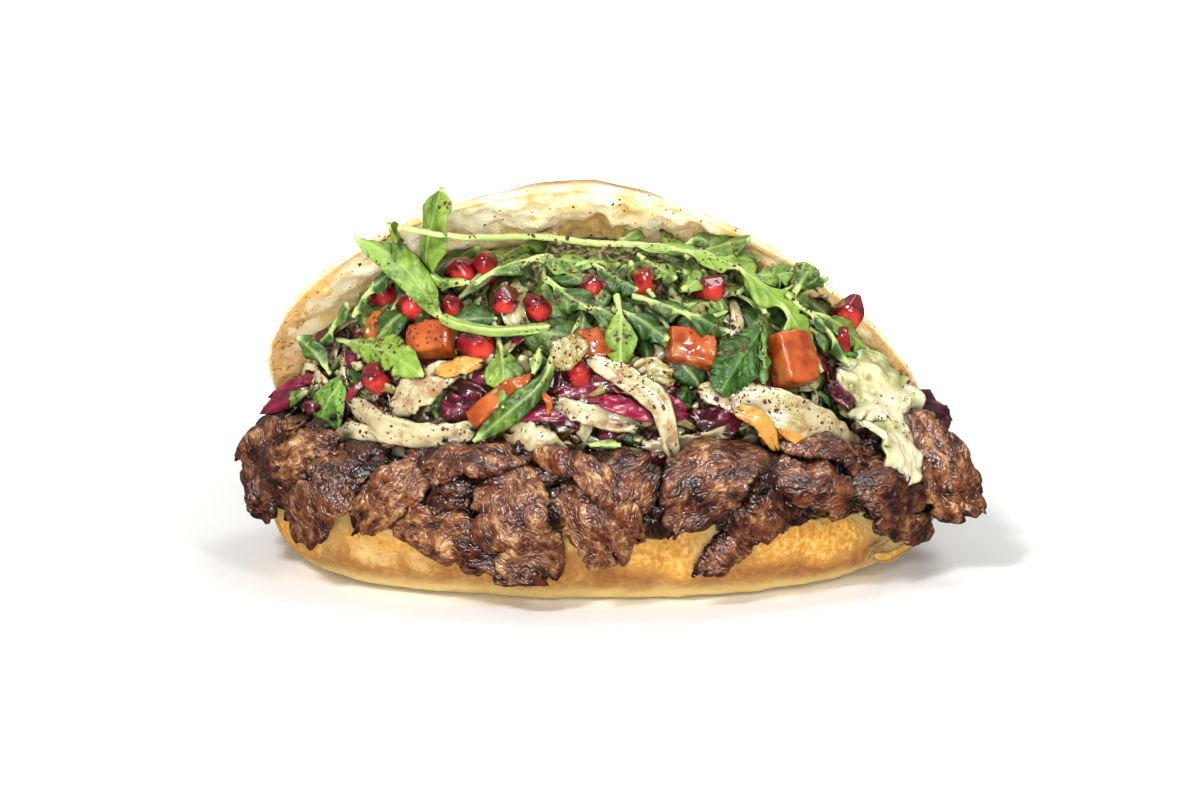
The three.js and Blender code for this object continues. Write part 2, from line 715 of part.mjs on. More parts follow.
const uneven = randomFrom(3);
SEEDS.forEach(([place, length], k) => {
  const solid = atMound(seed(length), place, uneven(0, 360));
  toppingGroup.add(mesh(`pomegranate_${k + 1}`, "seed", settle(solid)));
});
TOMATO.forEach(([place, size, turn], k) => {
  const solid = atMound(dice(size, uneven), place, turn);
  toppingGroup.add(mesh(`tomato_${k + 1}`, "tomato", settle(solid)));
});
BROAD_LEAVES.forEach(([name, path, width]) => {
  const solid = leaf({ path, width: ovalWidth(width), steps: 8, curl: -1.5, wave: 0.8 });
  toppingGroup.add(mesh(name, "leaf", settle(solid)));
});
WHITE_CABBAGE.forEach(([path, width, thick], k) => {
  const solid = strip({ path, width, thick });
  toppingGroup.add(mesh(`white_cabbage_${k + 1}`, "white_cabbage", settle(solid)));
});
ROCKET.forEach(([path, width, stalk, lobes], k) => {
  const steps = path.length > 5 ? 14 : 8;
  const solid = leaf({ path, width: rocketWidth({ width, stalk, lobes }), steps, phase: k });
  toppingGroup.add(mesh(`rocket_${k + 1}`, "rocket", settle(solid)));
});
RED_CABBAGE.forEach(([path, width, thick], k) => {
  const solid = strip({ path, width, thick, wave: 0.9 });
  toppingGroup.add(mesh(`red_cabbage_${k + 1}`, "red_cabbage", settle(solid)));
});
toppingGroup.add(mesh("lettuce", "lettuce", settle(strip(LETTUCE))));
fillingGroup.add(mesh("meat", "meat", makeMeat()));
fillingGroup.add(mesh("salad", "salad", makeSalad()));

// The origin is the middle of the footprint, on the ground.
const bounds = new THREE.Box3().setFromObject(group);
group.position.set(-(bounds.min.x + bounds.max.x) / 2, -(bounds.min.y + bounds.max.y) / 2, -bounds.min.z);

export default group;
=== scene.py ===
"""The looks of a doner kebab sandwich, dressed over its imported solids.

Shapes are worked out in millimetres in the sandwich's drawing frame, where the middle of the lower bread
is at x = 0 and its underside at z = 0, and are moved into the row frame as they become Blender objects.
The mouth opens towards -Y.
"""

import json
import math

import bpy
import numpy as np
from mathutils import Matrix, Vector
from mathutils.bvhtree import BVHTree

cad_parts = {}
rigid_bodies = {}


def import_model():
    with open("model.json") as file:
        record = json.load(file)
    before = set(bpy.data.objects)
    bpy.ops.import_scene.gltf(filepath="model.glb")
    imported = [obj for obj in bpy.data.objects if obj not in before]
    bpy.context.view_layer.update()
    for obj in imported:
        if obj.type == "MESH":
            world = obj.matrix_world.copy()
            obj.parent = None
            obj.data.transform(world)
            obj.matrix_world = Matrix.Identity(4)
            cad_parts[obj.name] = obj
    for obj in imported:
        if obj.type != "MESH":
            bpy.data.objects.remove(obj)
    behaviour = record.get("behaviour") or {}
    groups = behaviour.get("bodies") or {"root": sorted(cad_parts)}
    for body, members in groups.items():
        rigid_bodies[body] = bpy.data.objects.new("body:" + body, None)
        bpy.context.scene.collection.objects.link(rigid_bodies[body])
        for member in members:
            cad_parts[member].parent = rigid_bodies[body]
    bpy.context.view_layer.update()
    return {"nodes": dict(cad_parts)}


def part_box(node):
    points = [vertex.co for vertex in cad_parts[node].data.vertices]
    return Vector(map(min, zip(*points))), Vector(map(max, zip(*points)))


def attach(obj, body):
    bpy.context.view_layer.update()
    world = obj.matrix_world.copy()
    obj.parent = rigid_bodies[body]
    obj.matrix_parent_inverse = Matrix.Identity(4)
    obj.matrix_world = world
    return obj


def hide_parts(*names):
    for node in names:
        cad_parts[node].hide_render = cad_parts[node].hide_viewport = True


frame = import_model()

# ---- driving dimensions, mm

MM = 0.001
BREAD_LOW, BREAD_HIGH = (np.array(corner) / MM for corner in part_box("bread"))
HALF_WIDTH = (BREAD_HIGH[0] - BREAD_LOW[0]) / 2
DEPTH = BREAD_HIGH[1] - BREAD_LOW[1]
LOWER_THICK = 23.0
LID_THICK = 15.0
LID_RIM = 2.0
CORNER = 0.22  # share of the radius that the crust's rounded wall takes
TUCK = math.radians(24)  # how far the wall leans in again under the cut face
SQUARENESS = 2.4  # superellipse exponent of the bread's outline
LID_ANGLE = math.radians(46)
LID_HINGE = (58.0, 22.0)  # y and z
LID_DROOP = 26.0
LID_LEAN = 10.0
LID_BOW = 8.0
LID_SQUARENESS = (2.08, 1.54)  # its left and right front
LID_BULGE = 7.0  # how far the lid's torn face swells
CAVITY = (-1.0, 105.0)  # the hole in the lid's crumb: x, and distance from the hinge
HINGE = (np.array([0.0, 44, 24]), np.array([62.0, 9, 7]))
MEAT = (np.array([2.0, -5, 34]), np.array([100.0, 62, 20]))
MEAT_BACK = 40.0  # how far back its core reaches
MOUND = (np.array([0.0, 10, 45]), np.array([86.0, 68, 58]))
BACK_EDGE = LID_HINGE[0] + 4  # the lower bread's, behind the line that the lid turns about
FRONT_EDGE = BACK_EDGE - DEPTH
SHIFT = BREAD_LOW - [-HALF_WIDTH, FRONT_EDGE, 0]

CAMERA = {"aim": (2, -20, 50), "distance": 773, "elevation": 12, "lens": 80, "sensor": 36}

# ---- numbers


def unit(vectors):
    return vectors / np.maximum(np.linalg.norm(vectors, axis=-1, keepdims=True), 1e-9)


def blend(low, high, value):
    """0 below `low`, 1 above `high` and smooth between."""
    share = np.clip((value - low) / (high - low), 0, 1)
    return share * share * (3 - 2 * share)


def chance(cells, seed):
    """A steady number from 0 to 1 for each whole-number cell."""
    mixed = cells[..., 0] * 73856093 + cells[..., 1] * 19349663 + cells[..., 2] * 83492791 + seed * 2654435
    mixed = (mixed ^ (mixed >> 13)) * 1274126177 & 0x7FFFFFFF
    mixed = (mixed ^ (mixed >> 15)) * 739982445 & 0x7FFFFFFF
    return ((mixed ^ (mixed >> 12)) & 0xFFFFFF) / 0xFFFFFF


def noise(points, size, seed=0, octaves=2):
    """Smooth noise from about -1 to 1, with lumps about `size` apart and finer ones on them."""
    total, weight = 0, 1
    for octave in range(octaves):
        place = points / size + 17.3 * octave + 0.37 * seed
        cell = np.floor(place).astype(np.int64)
        inside = place - cell
        inside = inside * inside * (3 - 2 * inside)
        lumps = 0
        for corner in np.ndindex(2, 2, 2):
            share = np.prod(np.where(corner, inside, 1 - inside), axis=-1)
            lumps = lumps + share * chance(cell + np.array(corner), seed + octave)
        total = total + weight * (2 * lumps - 1)
        weight *= 0.5
        size = size / 2.1
    return total


def bubbles(points, size, seed, share):
    """Depths, from 0 to about 0.5 of `size`, of round holes scattered over `share` of the cells."""
    place = points / size
    cell = np.floor(place).astype(np.int64)
    deepest = np.zeros(points.shape[:-1])
    for offset in np.ndindex(3, 3, 3):
        near = cell + np.array(offset) - 1
        centre = near + np.stack([chance(near, seed + k) for k in range(3)], axis=-1)
        radius = 0.2 + 0.4 * chance(near, seed + 3)
        radius = np.where(chance(near, seed + 4) < share, radius, 1e-6)
        distance = np.linalg.norm(place - centre, axis=-1) / radius
        deepest = np.maximum(deepest, radius * np.sqrt(np.clip(1 - distance**2, 0, 1)))
    return deepest


def flat(u, v, w=0.0):
    """Points for noise from two or three coordinates."""
    return np.stack(np.broadcast_arrays(np.asarray(u, float), v, w), axis=-1)


def ball(margin, rows, columns, pole=2):
    """Points on a unit ball whose rings run round the axis `pole`, `margin` radians short of its ends."""
    tilt = np.linspace(margin, np.pi - margin, rows)[:, None]
    turn = np.linspace(0, 2 * np.pi, columns, endpoint=False)
    axes = [np.sin(tilt) * np.cos(turn), np.sin(tilt) * np.sin(turn), np.cos(tilt)]
    return np.stack(np.broadcast_arrays(*axes[2 - pole :], *axes[: 2 - pole]), axis=-1)


def smooth_path(points, shares):
    """Points at shares of the length of a smooth curve through `points`."""
    points = np.array(points, float)
    knots = np.concatenate([[0], np.cumsum(np.linalg.norm(np.diff(points, axis=0), axis=1))])
    slopes = np.gradient(points, knots, axis=0)
    fine = np.linspace(0, knots[-1], 24 * len(points))
    k = np.clip(np.searchsorted(knots, fine, side="right") - 1, 0, len(points) - 2)
    span = (knots[k + 1] - knots[k])[:, None]
    s = (fine - knots[k])[:, None] / span
    curve = (2 * s**3 - 3 * s**2 + 1) * points[k] + (s**3 - 2 * s**2 + s) * span * slopes[k]
    curve += (3 * s**2 - 2 * s**3) * points[k + 1] + (s**3 - s**2) * span * slopes[k + 1]
    run = np.concatenate([[0], np.cumsum(np.linalg.norm(np.diff(curve, axis=0), axis=1))])
    return np.stack([np.interp(shares * run[-1], run, curve[:, axis]) for axis in range(3)], axis=1), run[-1]


# ---- meshes


class Body:
    """A closed body: its points in mm, its faces as arrays of point numbers, and values at its points."""

    def __init__(self, points, faces, **values):
        self.points = points.reshape(-1, 3)
        self.faces = faces
        self.values = {name: np.broadcast_to(v, len(self.points)) for name, v in values.items()}


def grid_faces(numbers):
    """Faces between the points of a grid, given their numbers."""
    a, b, c, d = numbers[:-1, :-1], numbers[:-1, 1:], numbers[1:, 1:], numbers[1:, :-1]
    return np.stack([a, b, c, d], axis=-1).reshape(-1, 4)


def sheet(middle, thickness, relief=0.0, **values):
    """A thin closed body round a grid of middle points, with its relief on both faces."""
    rows, columns = middle.shape[:2]
    normal = unit(np.cross(np.gradient(middle, axis=1), np.gradient(middle, axis=0)))
    half = (np.broadcast_to(thickness, (rows, columns)) / 2 + relief)[..., None] * normal
    upper = np.arange(rows * columns).reshape(rows, columns)
    lower = upper + rows * columns
    rim = np.concatenate([upper[0, :-1], upper[:-1, -1], upper[-1, :0:-1], upper[:0:-1, 0]])
    onward = np.roll(rim, -1)
    edge = np.stack([rim, rim + rows * columns, onward + rows * columns, onward], axis=-1)
    points = np.concatenate([(middle + half).reshape(-1, 3), (middle - half).reshape(-1, 3)])
    doubled = {name: np.tile(np.broadcast_to(v, (rows, columns)).ravel(), 2) for name, v in values.items()}
    return Body(points, [grid_faces(upper), grid_faces(lower)[:, ::-1], edge], **doubled)


def turned_sheet(rings, **values):
    """A closed body from rings of points, closed by a fan at both ends."""
    count, sectors = rings.shape[:2]
    numbers = np.arange(count * sectors).reshape(count, sectors)
    wrapped = np.concatenate([numbers, numbers[:, :1]], axis=1)
    first, last = count * sectors, count * sectors + 1
    start = np.stack([np.full(sectors, first), wrapped[0, 1:], wrapped[0, :-1]], axis=-1)
    end = np.stack([np.full(sectors, last), wrapped[-1, :-1], wrapped[-1, 1:]], axis=-1)
    points = np.concatenate([rings.reshape(-1, 3), [rings[0].mean(0)], [rings[-1].mean(0)]])
    full = {}
    for name, value in values.items():
        value = np.broadcast_to(value, (count, sectors))
        full[name] = np.concatenate([value.ravel(), [value[0].mean()], [value[-1].mean()]])
    return Body(points, [grid_faces(wrapped), start, end], **full)


def ribbon(
    path, rows, columns, width, facing, curl=0, wave=0, ripples=1.5, phase=0, twist=0, sweep=0, end=0,
    gather=1,
):
    """A grid of middle points along a smooth path, with each point's share along, place across from -1 to
    1, and distances along and across in mm. `gather` crowds the columns to the middle."""
    shares = np.linspace(0, 1, rows)
    centre, length = smooth_path(path, shares)
    along = unit(np.gradient(centre, axis=0))
    side = unit(np.cross(along, facing(centre)))
    out = np.cross(side, along)
    turn = (twist * (shares - 0.5))[:, None]
    side, out = side * np.cos(turn) + out * np.sin(turn), out * np.cos(turn) - side * np.sin(turn)
    across = np.linspace(-1, 1, columns)
    t, v = np.meshgrid(shares, np.sign(across) * np.abs(across) ** gather, indexing="ij")
    reach = width(t, v) * v / 2
    ruffle = np.minimum(1, np.abs(width(t, v)) / 7)
    lift = ruffle * (curl * v**2 + wave * v * np.sin(phase + 6.28 * ripples * t + 2 * v))
    onward = sweep * np.abs(reach) + end * (2 * t - 1) ** 5 * noise(flat(v * 2, phase, t), 0.6)
    grid = centre[:, None] + side[:, None] * reach[..., None] + out[:, None] * lift[..., None]
    return grid + along[:, None] * onward[..., None], t, v, t * length, reach


def linked(name, data):
    """A new object in the scene."""
    made = bpy.data.objects.new(name, data)
    bpy.context.scene.collection.objects.link(made)
    return made


def piece(name, bodies, material, slot, *nodes):
    """One Blender object from several bodies, that stands for CAD nodes."""
    starts = np.cumsum([0] + [len(b.points) for b in bodies])
    points = np.concatenate([b.points for b in bodies])
    loops, sizes = [], []
    for body, start in zip(bodies, starts):
        for faces in body.faces:
            loops.append((faces + start).ravel())
            sizes.append(np.full(len(faces), faces.shape[1]))
    sizes = np.concatenate(sizes)
    mesh = bpy.data.meshes.new(name)
    mesh.vertices.add(len(points))
    mesh.vertices.foreach_set("co", ((points + SHIFT) * MM).astype(np.float32).ravel())
    mesh.loops.add(int(sizes.sum()))
    mesh.loops.foreach_set("vertex_index", np.concatenate(loops).astype(np.int32))
    mesh.polygons.add(len(sizes))
    mesh.polygons.foreach_set("loop_start", (np.cumsum(sizes) - sizes).astype(np.int32))
    for value in sorted(set().union(*(b.values for b in bodies))):
        joined = np.concatenate([b.values.get(value, np.zeros(len(b.points))) for b in bodies])
        layer = mesh.attributes.new(value, "FLOAT", "POINT")
        layer.data.foreach_set("value", joined.astype(np.float32))
    mesh.update(calc_edges=True)
    mesh.validate()
    mesh.shade_smooth()
    mesh.materials.append(material)
    made = linked(name, mesh)
    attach(made, "root")
    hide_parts(*nodes)


# ---- materials


def colour(text):
    """Linear colour from a web colour."""
    parts = [int(text[k : k + 2], 16) / 255 for k in (1, 3, 5)]
    return [p / 12.92 if p < 0.04045 else ((p + 0.055) / 1.055) ** 2.4 for p in parts] + [1]


class Nodes:
    """A node tree, put together in few words."""

    def __init__(self, tree):
        self.tree = tree

    def add(self, kind, *inputs, **settings):
        node = self.tree.nodes.new(kind)
        for name, value in settings.items():
            setattr(node, name, value)
        for socket, value in zip(node.inputs, inputs):
            self.join(socket, value)
        return node

    def join(self, socket, value):
        if isinstance(value, bpy.types.NodeSocket):
            self.tree.links.new(value, socket)
        elif value is not None:
            socket.default_value = colour(value) if isinstance(value, str) else value

    def set(self, node, **inputs):
        for name, value in inputs.items():
            self.join(node.inputs[name.replace("_", " ")], value)


class Paint(Nodes):
    """A procedural material."""

    def __init__(self, name, **shader):
        self.material = bpy.data.materials.new(name)
        self.material.use_nodes = True
        super().__init__(self.material.node_tree)
        self.shader = self.tree.nodes["Principled BSDF"]
        self.place = self.add("ShaderNodeTexCoord").outputs["Object"]
        self.set(self.shader, **shader)

    def value(self, name):
        return self.add("ShaderNodeAttribute", attribute_name=name).outputs["Fac"]

    def maths(self, operation, a, b=0.0, clamp=False):
        return self.add("ShaderNodeMath", a, b, operation=operation, use_clamp=clamp).outputs[0]

    def total(self, *terms):
        """The sum of (socket, weight) terms and plain numbers."""
        made = None
        for term in terms:
            part = self.maths("MULTIPLY", *term) if isinstance(term, tuple) else term
            made = part if made is None else self.maths("ADD", made, part)
        return made

    def noise(self, size, detail=3.0, rough=0.55, place=None):
        """Noise of 0 to 1 whose lumps are `size` mm apart, or that many units of `place`."""
        scale = 1 / size if place else 1 / (size * MM)
        node = self.add("ShaderNodeTexNoise")
        self.set(node, Vector=place or self.place, Scale=scale, Detail=detail, Roughness=rough)
        return node.outputs["Fac"]

    def grain(self, stretch, wander=0.0):
        """Coordinates in mm along and across the grain, squeezed by `stretch` along it, that wander."""
        node = self.add("ShaderNodeCombineXYZ", self.maths("DIVIDE", self.value("grain_along"), stretch))
        self.join(node.inputs[1], self.value("grain_across"))
        self.join(node.inputs[2], self.maths("MULTIPLY", self.value("tone"), 9.0))
        drift = self.add("ShaderNodeTexNoise")
        self.set(drift, Vector=self.place, Scale=1 / (5 * MM), Detail=1.0)
        reach = (wander, wander, wander)
        moved = self.add("ShaderNodeVectorMath", drift.outputs["Color"], reach, operation="MULTIPLY_ADD")
        self.join(moved.inputs[2], node.outputs[0])
        return moved.outputs[0]

    def ridge(self, value, fall):
        """1 where `value` is 0.5, down to 0 on both sides of it."""
        off = self.maths("ABSOLUTE", self.maths("SUBTRACT", value, 0.5))
        return self.maths("SUBTRACT", 1.0, self.maths("MULTIPLY", off, fall), clamp=True)

    def step(self, value, low, high):
        """0 below `low`, 1 above `high`."""
        return self.add("ShaderNodeMapRange", value, low, high, interpolation_type="SMOOTHSTEP").outputs[0]

    def ramp(self, value, *stops):
        node = self.add("ShaderNodeValToRGB", value)
        elements = node.color_ramp.elements
        while len(elements) < len(stops):
            elements.new(0.5)
        for element, (place, web) in zip(elements, stops):
            element.position = place
            element.color = colour(web)
        return node.outputs[0]

    def mix(self, share, a, b):
        node = self.add("ShaderNodeMix", share, data_type="RGBA")
        self.join(node.inputs[6], a)
        self.join(node.inputs[7], b)
        return node.outputs[2]

    def stain(self, base, tint, value, low, high, share=1):
        """`base`, with up to `share` of `tint` over it as `value` goes from `low` to `high`."""
        amount = self.step(value, low, high)
        if share < 1:
            amount = self.maths("MULTIPLY", amount, share)
        return self.mix(amount, base, tint)

    def bump(self, height, distance, strength=1.0):
        """A normal from a height of 0 to 1 that stands for `distance` mm."""
        node = self.add("ShaderNodeBump")
        self.set(node, Strength=strength, Distance=distance * MM, Height=height)
        return node.outputs[0]

    def painted_shade_in_gaps(self, base, dark, reach, low=0.3, high=0.85):
        """`base`, but `dark` in the gaps where other surfaces stand within `reach` mm: painted shade."""
        node = self.add("ShaderNodeAmbientOcclusion", samples=6)
        self.set(node, Distance=reach * MM)
        return self.mix(self.step(node.outputs["AO"], low, high), dark, base)

    def finish(self, base, roughness=None, normal=None, wet=None):
        """`wet` is the normal of the coat, where it is smoother than what it lies on."""
        self.set(self.shader, Base_Color=base, Roughness=roughness, Normal=normal, Coat_Normal=wet or normal)
        return self.material


def bread_material():
    """Crumb on the torn faces, floury crust outside, toasted spots, and juice soaked in under the meat."""
    paint = Paint("bread", Subsurface_Weight=0.5, Subsurface_Radius=(0.7, 0.5, 0.25), Subsurface_Scale=0.009)
    wide, patches, fine = paint.noise(22, 3), paint.noise(8, 4), paint.noise(1.6, 4, 0.65)
    mixed = paint.total((wide, 0.4), (patches, 0.5), (fine, 0.25), -0.08)
    # The crumb darkens with how hollow it is: painted shade in its holes and cavity.
    crumb = paint.ramp(
        paint.total(mixed, (paint.value("hollow"), 0.3)),
        (0.34, "#fdf4da"), (0.47, "#f7e9c0"), (0.57, "#eed494"), (0.66, "#dcae60"), (0.82, "#b27636"),
    )
    crust = paint.ramp(
        paint.total(mixed, (paint.value("blister"), -0.12), (fine, 0.3), -0.14),
        (0.3, "#cfa865"), (0.42, "#ba8640"), (0.54, "#a8702c"), (0.64, "#925620"), (0.78, "#743e17"),
    )
    base = paint.mix(paint.value("crust"), crumb, crust)
    torn = paint.noise(3.5, 4, 0.6)
    toast = paint.total((paint.value("toast"), 1.0), (patches, 0.9), (torn, 0.9), (fine, 0.2), -1.05)
    base = paint.stain(base, "#e6ac56", toast, 0.22, 0.52, 0.75)
    soak = paint.total((paint.value("juice"), 1.0), (wide, 0.7), (patches, 1.1), -1.0)
    soaked = paint.ramp(fine, (0.35, "#c57e1e"), (0.5, "#d99c38"), (0.65, "#ecc374"))
    base = paint.stain(base, soaked, soak, 0.15, 0.6)
    deep = paint.total((paint.value("juice"), 0.7), (paint.noise(4, 4), 1.2), -0.9)
    base = paint.stain(base, "#b0651c", deep, 0.3, 0.7, 0.5)
    spots = paint.total((paint.value("spots"), 0.6), (paint.noise(1.7, 2, 0.5), 0.75), (patches, 0.5))
    base = paint.stain(base, "#74431f", spots, 1.0, 1.12, 0.75)
    base = paint.mix(paint.value("scorch"), base, "#8a5a34")
    # Painted shade: the crumb turns a deeper yellow in the gaps, where other surfaces come within 9 mm.
    base = paint.painted_shade_in_gaps(base, "#f4d488", 9, 0.15, 0.8)
    rough = paint.total((paint.value("juice"), -0.4), (fine, 0.2), 0.6)
    relief = paint.total((fine, 0.6), (paint.noise(0.7, 3), 0.35), (patches, 0.4))
    return paint.finish(base, rough, paint.bump(relief, 1.4, 0.9))


def meat_material():
    """Browned flesh in wet wandering strands, painted lighter where raised and darker in the grooves and
    gaps as light and shade, with dark and charred edges.
    """
    paint = Paint("meat", Coat_Weight=1.0, Coat_IOR=1.62, Coat_Roughness=0.12, Specular_IOR_Level=0.1)
    long = paint.grain(3.6, 5.0)
    strand = paint.ridge(paint.noise(1.5, 1, 0.5, long), 5.0)
    fibre = paint.noise(0.5, 2, 0.6, long)
    knobs = paint.noise(1.2, 3, 0.6, paint.grain(1.4, 2.0))
    patch, wide = paint.noise(5, 3), paint.noise(13, 2)
    # raised: the relief's crests, painted lighter and the grooves darker: painted light and shade.
    raised = paint.value("raised")
    light = paint.total(
        (fibre, 0.3), (strand, 0.2), (knobs, 0.5), (patch, 0.8), (wide, 0.6), (paint.value("tone"), 0.2),
        (raised, 0.15), -0.87
    )
    base = paint.ramp(
        light,
        (0.1, "#180702"), (0.32, "#3d1b0c"), (0.5, "#693a20"), (0.68, "#925f3a"), (0.88, "#d0a26e"),
    )
    base = paint.stain(base, "#4e1d1a", paint.noise(7, 3), 0.5, 0.66, 0.3)
    base = paint.stain(base, "#742c0e", paint.noise(6, 3, 0.6), 0.57, 0.66, 0.6)
    char = paint.total((paint.value("char"), 0.8), (knobs, 0.5), (patch, 0.8), -0.74)
    base = paint.stain(base, "#2c0f08", char, 0.1, 0.6, 0.85)
    burn = paint.total((paint.value("char"), 0.8), (patch, 1.2), (knobs, 0.4), -1.2)
    base = paint.stain(base, "#121015", burn, 0.1, 0.4)
    # Painted shade: near black where other surfaces come within 7 mm, in the gaps between slices.
    base = paint.painted_shade_in_gaps(base, "#0a0302", 7)
    height = paint.total((strand, 0.35), (fibre, 0.3), (knobs, 0.6))
    wet = paint.bump(paint.total((strand, 0.4), (knobs, 0.6)), 0.8)
    return paint.finish(base, 0.5, paint.bump(height, 1.6, 1.0), wet)


def leaf_material(name, dark, light, rib):
    """A moist leaf, darker between its veins and pale along them."""
    paint = Paint(
        name, Subsurface_Weight=0.12, Subsurface_Radius=(0.2, 0.5, 0.1), Subsurface_Scale=0.002,
        Coat_Weight=0.45, Coat_Roughness=0.12, Specular_IOR_Level=0.3,
    )
    wide, fine = paint.noise(6, 3), paint.noise(1.3, 4, 0.6)
    shade = paint.total((wide, 1.3), (fine, 0.7), (paint.value("tone"), 0.35), -0.58)
    base = paint.stain(dark, light, shade, 0.1, 0.85)
    base = paint.mix(paint.value("rib"), base, rib)
    height = paint.total((fine, 0.4), (paint.noise(3, 2), 0.3), (paint.value("rib"), 0.4))
    rough = paint.total((wide, 0.5), 0.15)
    # Painted shade: dark green where other surfaces come within 6 mm.
    return paint.finish(paint.painted_shade_in_gaps(base, "#0c1604", 6), rough, paint.bump(height, 0.9, 0.8))


def cabbage_material(name, dark, light, vein, juice, coat=0.7):
    """Moist translucent cabbage, streaked along its length and stained by juice."""
    paint = Paint(
        name, Subsurface_Weight=0.35, Subsurface_Radius=(0.7, 0.5, 0.3), Subsurface_Scale=0.003,
        Coat_Weight=coat, Coat_Roughness=0.08,
    )
    streak = paint.noise(1.4, 2, 0.5, paint.grain(6.0))
    shade = paint.total((paint.noise(9, 2), 1.2), (streak, 0.45), (paint.value("tone"), 0.35), -0.3)
    base = paint.stain(dark, light, shade, 0.1, 0.75)
    base = paint.stain(base, vein, streak, 0.5, 0.7, 0.45)
    dirt = paint.total((paint.noise(5, 3, 0.6), 1.0), (paint.noise(1.1, 2), 0.3))
    base = paint.stain(base, juice, dirt, 0.6, 0.84, 0.65)
    base = paint.mix(paint.value("sauce"), base, "#e0d6b2")
    # Painted shade: dark brown where other surfaces come within 6 mm.
    base = paint.painted_shade_in_gaps(base, "#2c1a0a", 6)
    height = paint.total((streak, 0.4), (paint.noise(2, 3), 0.5))
    return paint.finish(base, 0.28, paint.bump(height, 0.6, 0.7))


def juicy_material(name, dark, light, core, size, roughness, glow):
    """Wet flesh that lets light in: pomegranate and tomato."""
    paint = Paint(
        name, Subsurface_Weight=glow, Subsurface_Radius=(1.0, 0.25, 0.12), Subsurface_Scale=0.0015,
        Coat_Weight=0.6, Coat_Roughness=0.05,
    )
    base = paint.stain(dark, light, paint.noise(size, 3), 0.36, 0.62)
    # The core value: paler flesh on the tomato, and on the seeds a painted glow of light shining through.
    base = paint.mix(paint.value("core"), base, core)
    return paint.finish(base, roughness, paint.bump(paint.noise(size / 3, 3), 0.25, 0.4))


def core_material():
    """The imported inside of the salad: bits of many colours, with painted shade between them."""
    paint = Paint("salad_core", Coat_Weight=0.2, Coat_Roughness=0.3)
    base = paint.ramp(
        paint.noise(4, 3, 0.6),
        (0.34, "#2c3a12"), (0.44, "#6d7a3c"), (0.5, "#b7ae7c"), (0.56, "#8a7a4c"), (0.64, "#4c1626"),
    )
    depth = paint.noise(1.6, 3)
    # Painted shade: near black where `depth` is low, in the hollows of the bump, between the bits.
    base = paint.stain("#171a0a", base, depth, 0.35, 0.6)
    return paint.finish(base, 0.5, paint.bump(depth, 1.5, 0.8))


def flake_material():
    """Ground sumac and chilli."""
    paint = Paint("sumac")
    return paint.finish(paint.ramp(paint.noise(2.5, 2), (0.35, "#2c0d08"), (0.6, "#6a2414")), 0.5)


# ---- bread


def place_lower(x, d, n):
    return np.stack([x, BACK_EDGE - d, LOWER_THICK - n], axis=-1)


def place_lid(x, d, n):
    share = x / HALF_WIDTH
    droop = LID_DROOP * share**2 + LID_LEAN * np.maximum(share, 0)
    out = n - droop + LID_BOW * np.sin(np.pi * np.minimum(d, DEPTH) / DEPTH)
    y = LID_HINGE[0] - d * math.cos(LID_ANGLE) + out * math.sin(LID_ANGLE)
    z = LID_HINGE[1] + d * math.sin(LID_ANGLE) + out * math.cos(LID_ANGLE)
    return np.stack([x, y, z], axis=-1)


def lid_power(c, s):
    """The outline's exponent: as wide as the lower half at the hinge, narrower at the front."""
    left, right = LID_SQUARENESS
    return np.where(s < 0, SQUARENESS, np.where(c > 0, right, left))


def half_bread(profile, power, sectors):
    """x, distance from the back and depth behind the cut, at the points of a polar grid."""
    angle = np.linspace(0, 2 * np.pi, sectors, endpoint=False)
    c, s = np.cos(angle), np.sin(angle)
    exponent = power(c, s)
    radius = (np.abs(c) ** exponent + np.abs(s) ** exponent) ** (-1 / exponent)
    r, n = np.array(profile).T
    x = HALF_WIDTH * r[:, None] * radius * c
    d = DEPTH / 2 * (1 + r[:, None] * radius * s)
    return x, d, np.repeat(n[:, None], sectors, axis=1), r[:, None] + 0 * x


def lower_profile():
    """The crust's rounded wall from the cut edge down, then the flat base."""
    wall = []
    for turn in np.linspace(-TUCK, np.pi / 2, 34):
        depth = LOWER_THICK * (math.sin(turn) + math.sin(TUCK)) / (1 + math.sin(TUCK))
        wall.append((1 - CORNER * (1 - math.cos(turn)), depth))
    return wall + [(r, LOWER_THICK) for r in (0.7, 0.5, 0.25, 0.05)]


def lid_profile():
    """The lid's crust: a thin rim, then a low dome."""
    flat_share = 0.3
    dome = []
    for r in np.linspace(1, 0.04, 44):
        s = max(r - flat_share, 0) / (1 - flat_share)
        dome.append((r, LID_RIM + (LID_THICK - LID_RIM) * (1 - s * s)))
    rim = [(1 + 0.006 * math.sin(math.pi * k / 4), LID_RIM * k / 4) for k in range(4)]
    return rim + dome


def crumb(x, d, face):
    """Lumps, tears and holes of the torn crumb, where `face` is 1, and how hollow it is there, for the
    painted shade in the holes.
    """
    place = flat(x, d)
    torn_lines = (1 - 2 * np.abs(noise(place, 9, 43, 3))) + 0.7 * (1 - 2 * np.abs(noise(place, 4, 44, 2)))
    lumps = 1.2 * noise(place, 15, 3, 3) + 0.8 * noise(place, 5, 5, 3) + 0.7 * torn_lines
    holes = 3.5 * bubbles(place, 9, 21, 0.4) + 2.6 * bubbles(place, 3.6, 33, 0.35)
    holes = holes * blend(-0.2, 0.6, noise(place, 26, 8, 2))
    torn = np.hypot((x - CAVITY[0]) / 12, (d - CAVITY[1]) / 9) + 0.5 * noise(place, 4, 11, 2)
    cavity = 4.5 * (1 - blend(0.5, 1.0, torn))
    hollow = holes + cavity
    return (hollow - lumps) * face, np.clip(hollow / 4, 0, 1) * face


